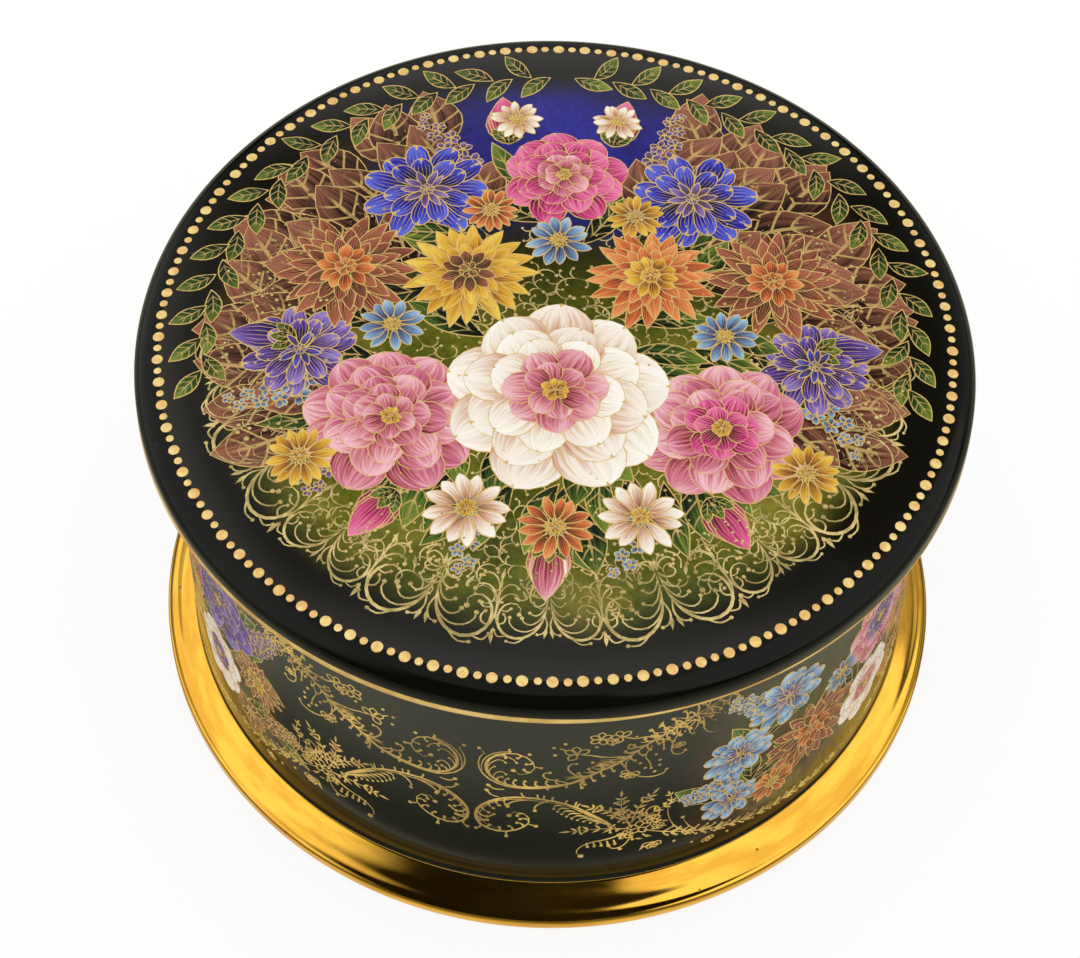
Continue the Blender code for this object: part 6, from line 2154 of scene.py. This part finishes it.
@dataclass
class Studio:
    """The camera, the white table and the light.

    The offset is where the box's middle at the height level lies before the camera, counted in lengths
    of unit millimetres. The table's lengths are in metres, and foot_band and near_band are the
    distances from the axis over which its shine changes.
    """

    width: int = 1080
    focal: float = 3345.5
    sensor: float = 36.0
    pitch: float = 0.9549
    roll: float = 0.0278
    offset: tuple[float, float, float] = (0.0287, -0.3215, 7.9335)
    unit: float = 54.0
    level: float = 58.027
    clip: tuple[float, float] = (0.01, 10.0)
    table_size: float = 3.0
    table_drop: float = 0.00002
    foot_band: tuple[float, float] = (0.054, 0.0558)
    near_band: tuple[float, float] = (0.057, 0.074)
    table_shade: Colour = (0.9, 0.9, 0.9)
    table_glow: Colour = (1.03, 1.03, 1.03)
    glow_share: float = 0.82
    foot_shine: Colour = (0.80, 0.72, 0.52)
    near_shine: Colour = (0.12, 0.12, 0.09)
    far_shine: Colour = (0.56, 0.56, 0.41)
    room: Colour = (1.04, 1.04, 1.04)
    tint: Colour = (1.0, 0.99, 0.96)
    dark: float = 0.008
    windows: tuple[Window, ...] = (Window(180, 24, 17, 6, 0.8), Window(180, 88, 22, 7, 0.8),
                                   Window(-100, 28, 45, 10, 1.2), Window(78, 40, 40.5, 2.5, 1.2),
                                   Window(130, 26, 22, 8, 0.62), Window(27, 46, 3.0, 1.5, 0.4))

    def camera(self) -> bpy.types.Object:
        """The camera at the photograph's place.

        Returns:
            The camera.
        """
        s, c = math.sin(self.pitch), math.cos(self.pitch)
        right, down, ahead = Vector((1, 0, 0)), Vector((0, -s, -c)), Vector((0, c, -s))
        tx, ty, tz = self.offset
        place = -(right * tx + down * ty + ahead * tz) * self.unit * MM + Vector((0, 0, self.level * MM))
        cr, sr = math.cos(self.roll), math.sin(self.roll)
        across, fall = right * cr - down * sr, right * sr + down * cr
        data = bpy.data.cameras.new("camera")
        data.sensor_width = self.sensor
        data.lens = self.focal / self.width * self.sensor
        data.clip_start, data.clip_end = self.clip
        camera = new_object("camera", data)
        turn = Matrix((across, -fall, -ahead)).transposed()
        camera.matrix_world = Matrix.Translation(place) @ turn.to_4x4()
        bpy.context.scene.camera = camera
        LOG.info("camera: %.0f mm lens", data.lens)
        return camera

    def table(self) -> bpy.types.Object:
        """The white table, which keeps a soft shadow and shows warm and dim in the gloss near the foot.

        Returns:
            The table.
        """
        bm = bmesh.new()
        bmesh.ops.create_grid(bm, x_segments=1, y_segments=1, size=self.table_size)
        mesh = as_mesh("table", bm)
        table = new_object("table", mesh)
        table.location = (0, 0, -self.table_drop)
        material = bpy.data.materials.new("white_table")
        material.use_nodes = True
        nodes = material.node_tree.nodes
        w = Wiring(material.node_tree)
        shader = w.fill(nodes["Principled BSDF"], Base_Color=self.table_shade, Roughness=0.9)
        rays = w.add("ShaderNodeLightPath")
        glossy = w.read(rays, "Is Glossy Ray")
        out = w.vector("LENGTH", w.place())
        shine = w.mix(w.step(out, *self.foot_band), self.foot_shine,
                      w.mix(w.step(out, *self.near_band), self.near_shine, self.far_shine))
        glow = w.fill(w.add("ShaderNodeEmission"), Color=w.mix(glossy, self.table_glow, shine))
        share = (w.read(rays, "Is Camera Ray") * self.glow_share).larger(glossy)
        both = w.fill(w.add("ShaderNodeMixShader"), share, w.read(shader), w.read(glow))
        w.fill(nodes["Material Output"], Surface=w.read(both))
        mesh.materials.append(material)
        LOG.info("table: %.0f m half width", self.table_size)
        return table

    def light(self) -> None:
        """An even white room for the colours, and windows in a dark one for the gloss."""
        world = bpy.data.worlds.new("room")
        world.use_nodes = True
        w = Wiring(world.node_tree)
        way = w.vector("NORMALIZE", w.read(w.add("ShaderNodeTexCoord"), "Generated"))
        glow = self.dark
        for window in self.windows:
            turn, rise = math.radians(window.turn), math.radians(window.rise)
            centre = (math.sin(turn) * math.cos(rise), -math.cos(turn) * math.cos(rise), math.sin(rise))
            edge = math.cos(math.radians(window.reach + window.blur))
            core = math.cos(math.radians(window.reach - window.blur))
            lit = w.step(w.vector("DOT_PRODUCT", way, centre), edge, core, 0.0, window.strength)
            glow = w.math("MAXIMUM", glow, lit)
        glossy = w.read(w.add("ShaderNodeLightPath"), "Is Glossy Ray")
        seen = w.mix(glossy, self.room, w.combine(glow, glow, glow))
        background = world.node_tree.nodes["Background"]
        w.fill(background, Color=w.mix(1.0, seen, self.tint, "MULTIPLY"), Strength=1.0)
        bpy.context.scene.world = world
        bpy.context.scene.view_settings.view_transform = "Standard"
        LOG.info("light: %d windows", len(self.windows))


def main() -> None:
    """Builds the box's dress and the studio."""
    logging.basicConfig(level=logging.INFO, format="%(message)s")
    studio = Studio()
    studio.camera()
    case, lid = Case(), Lid()
    case.shell()
    lid.shell()
    lid.gold_edge()
    lid.dotted_border()
    WallScrolls(case).build()
    WallPanels(case).build()
    LidPainting(lid).build()
    Movement(frame["record"]).dress()
    studio.table()
    studio.light()


if __name__ == "__main__":
    main()
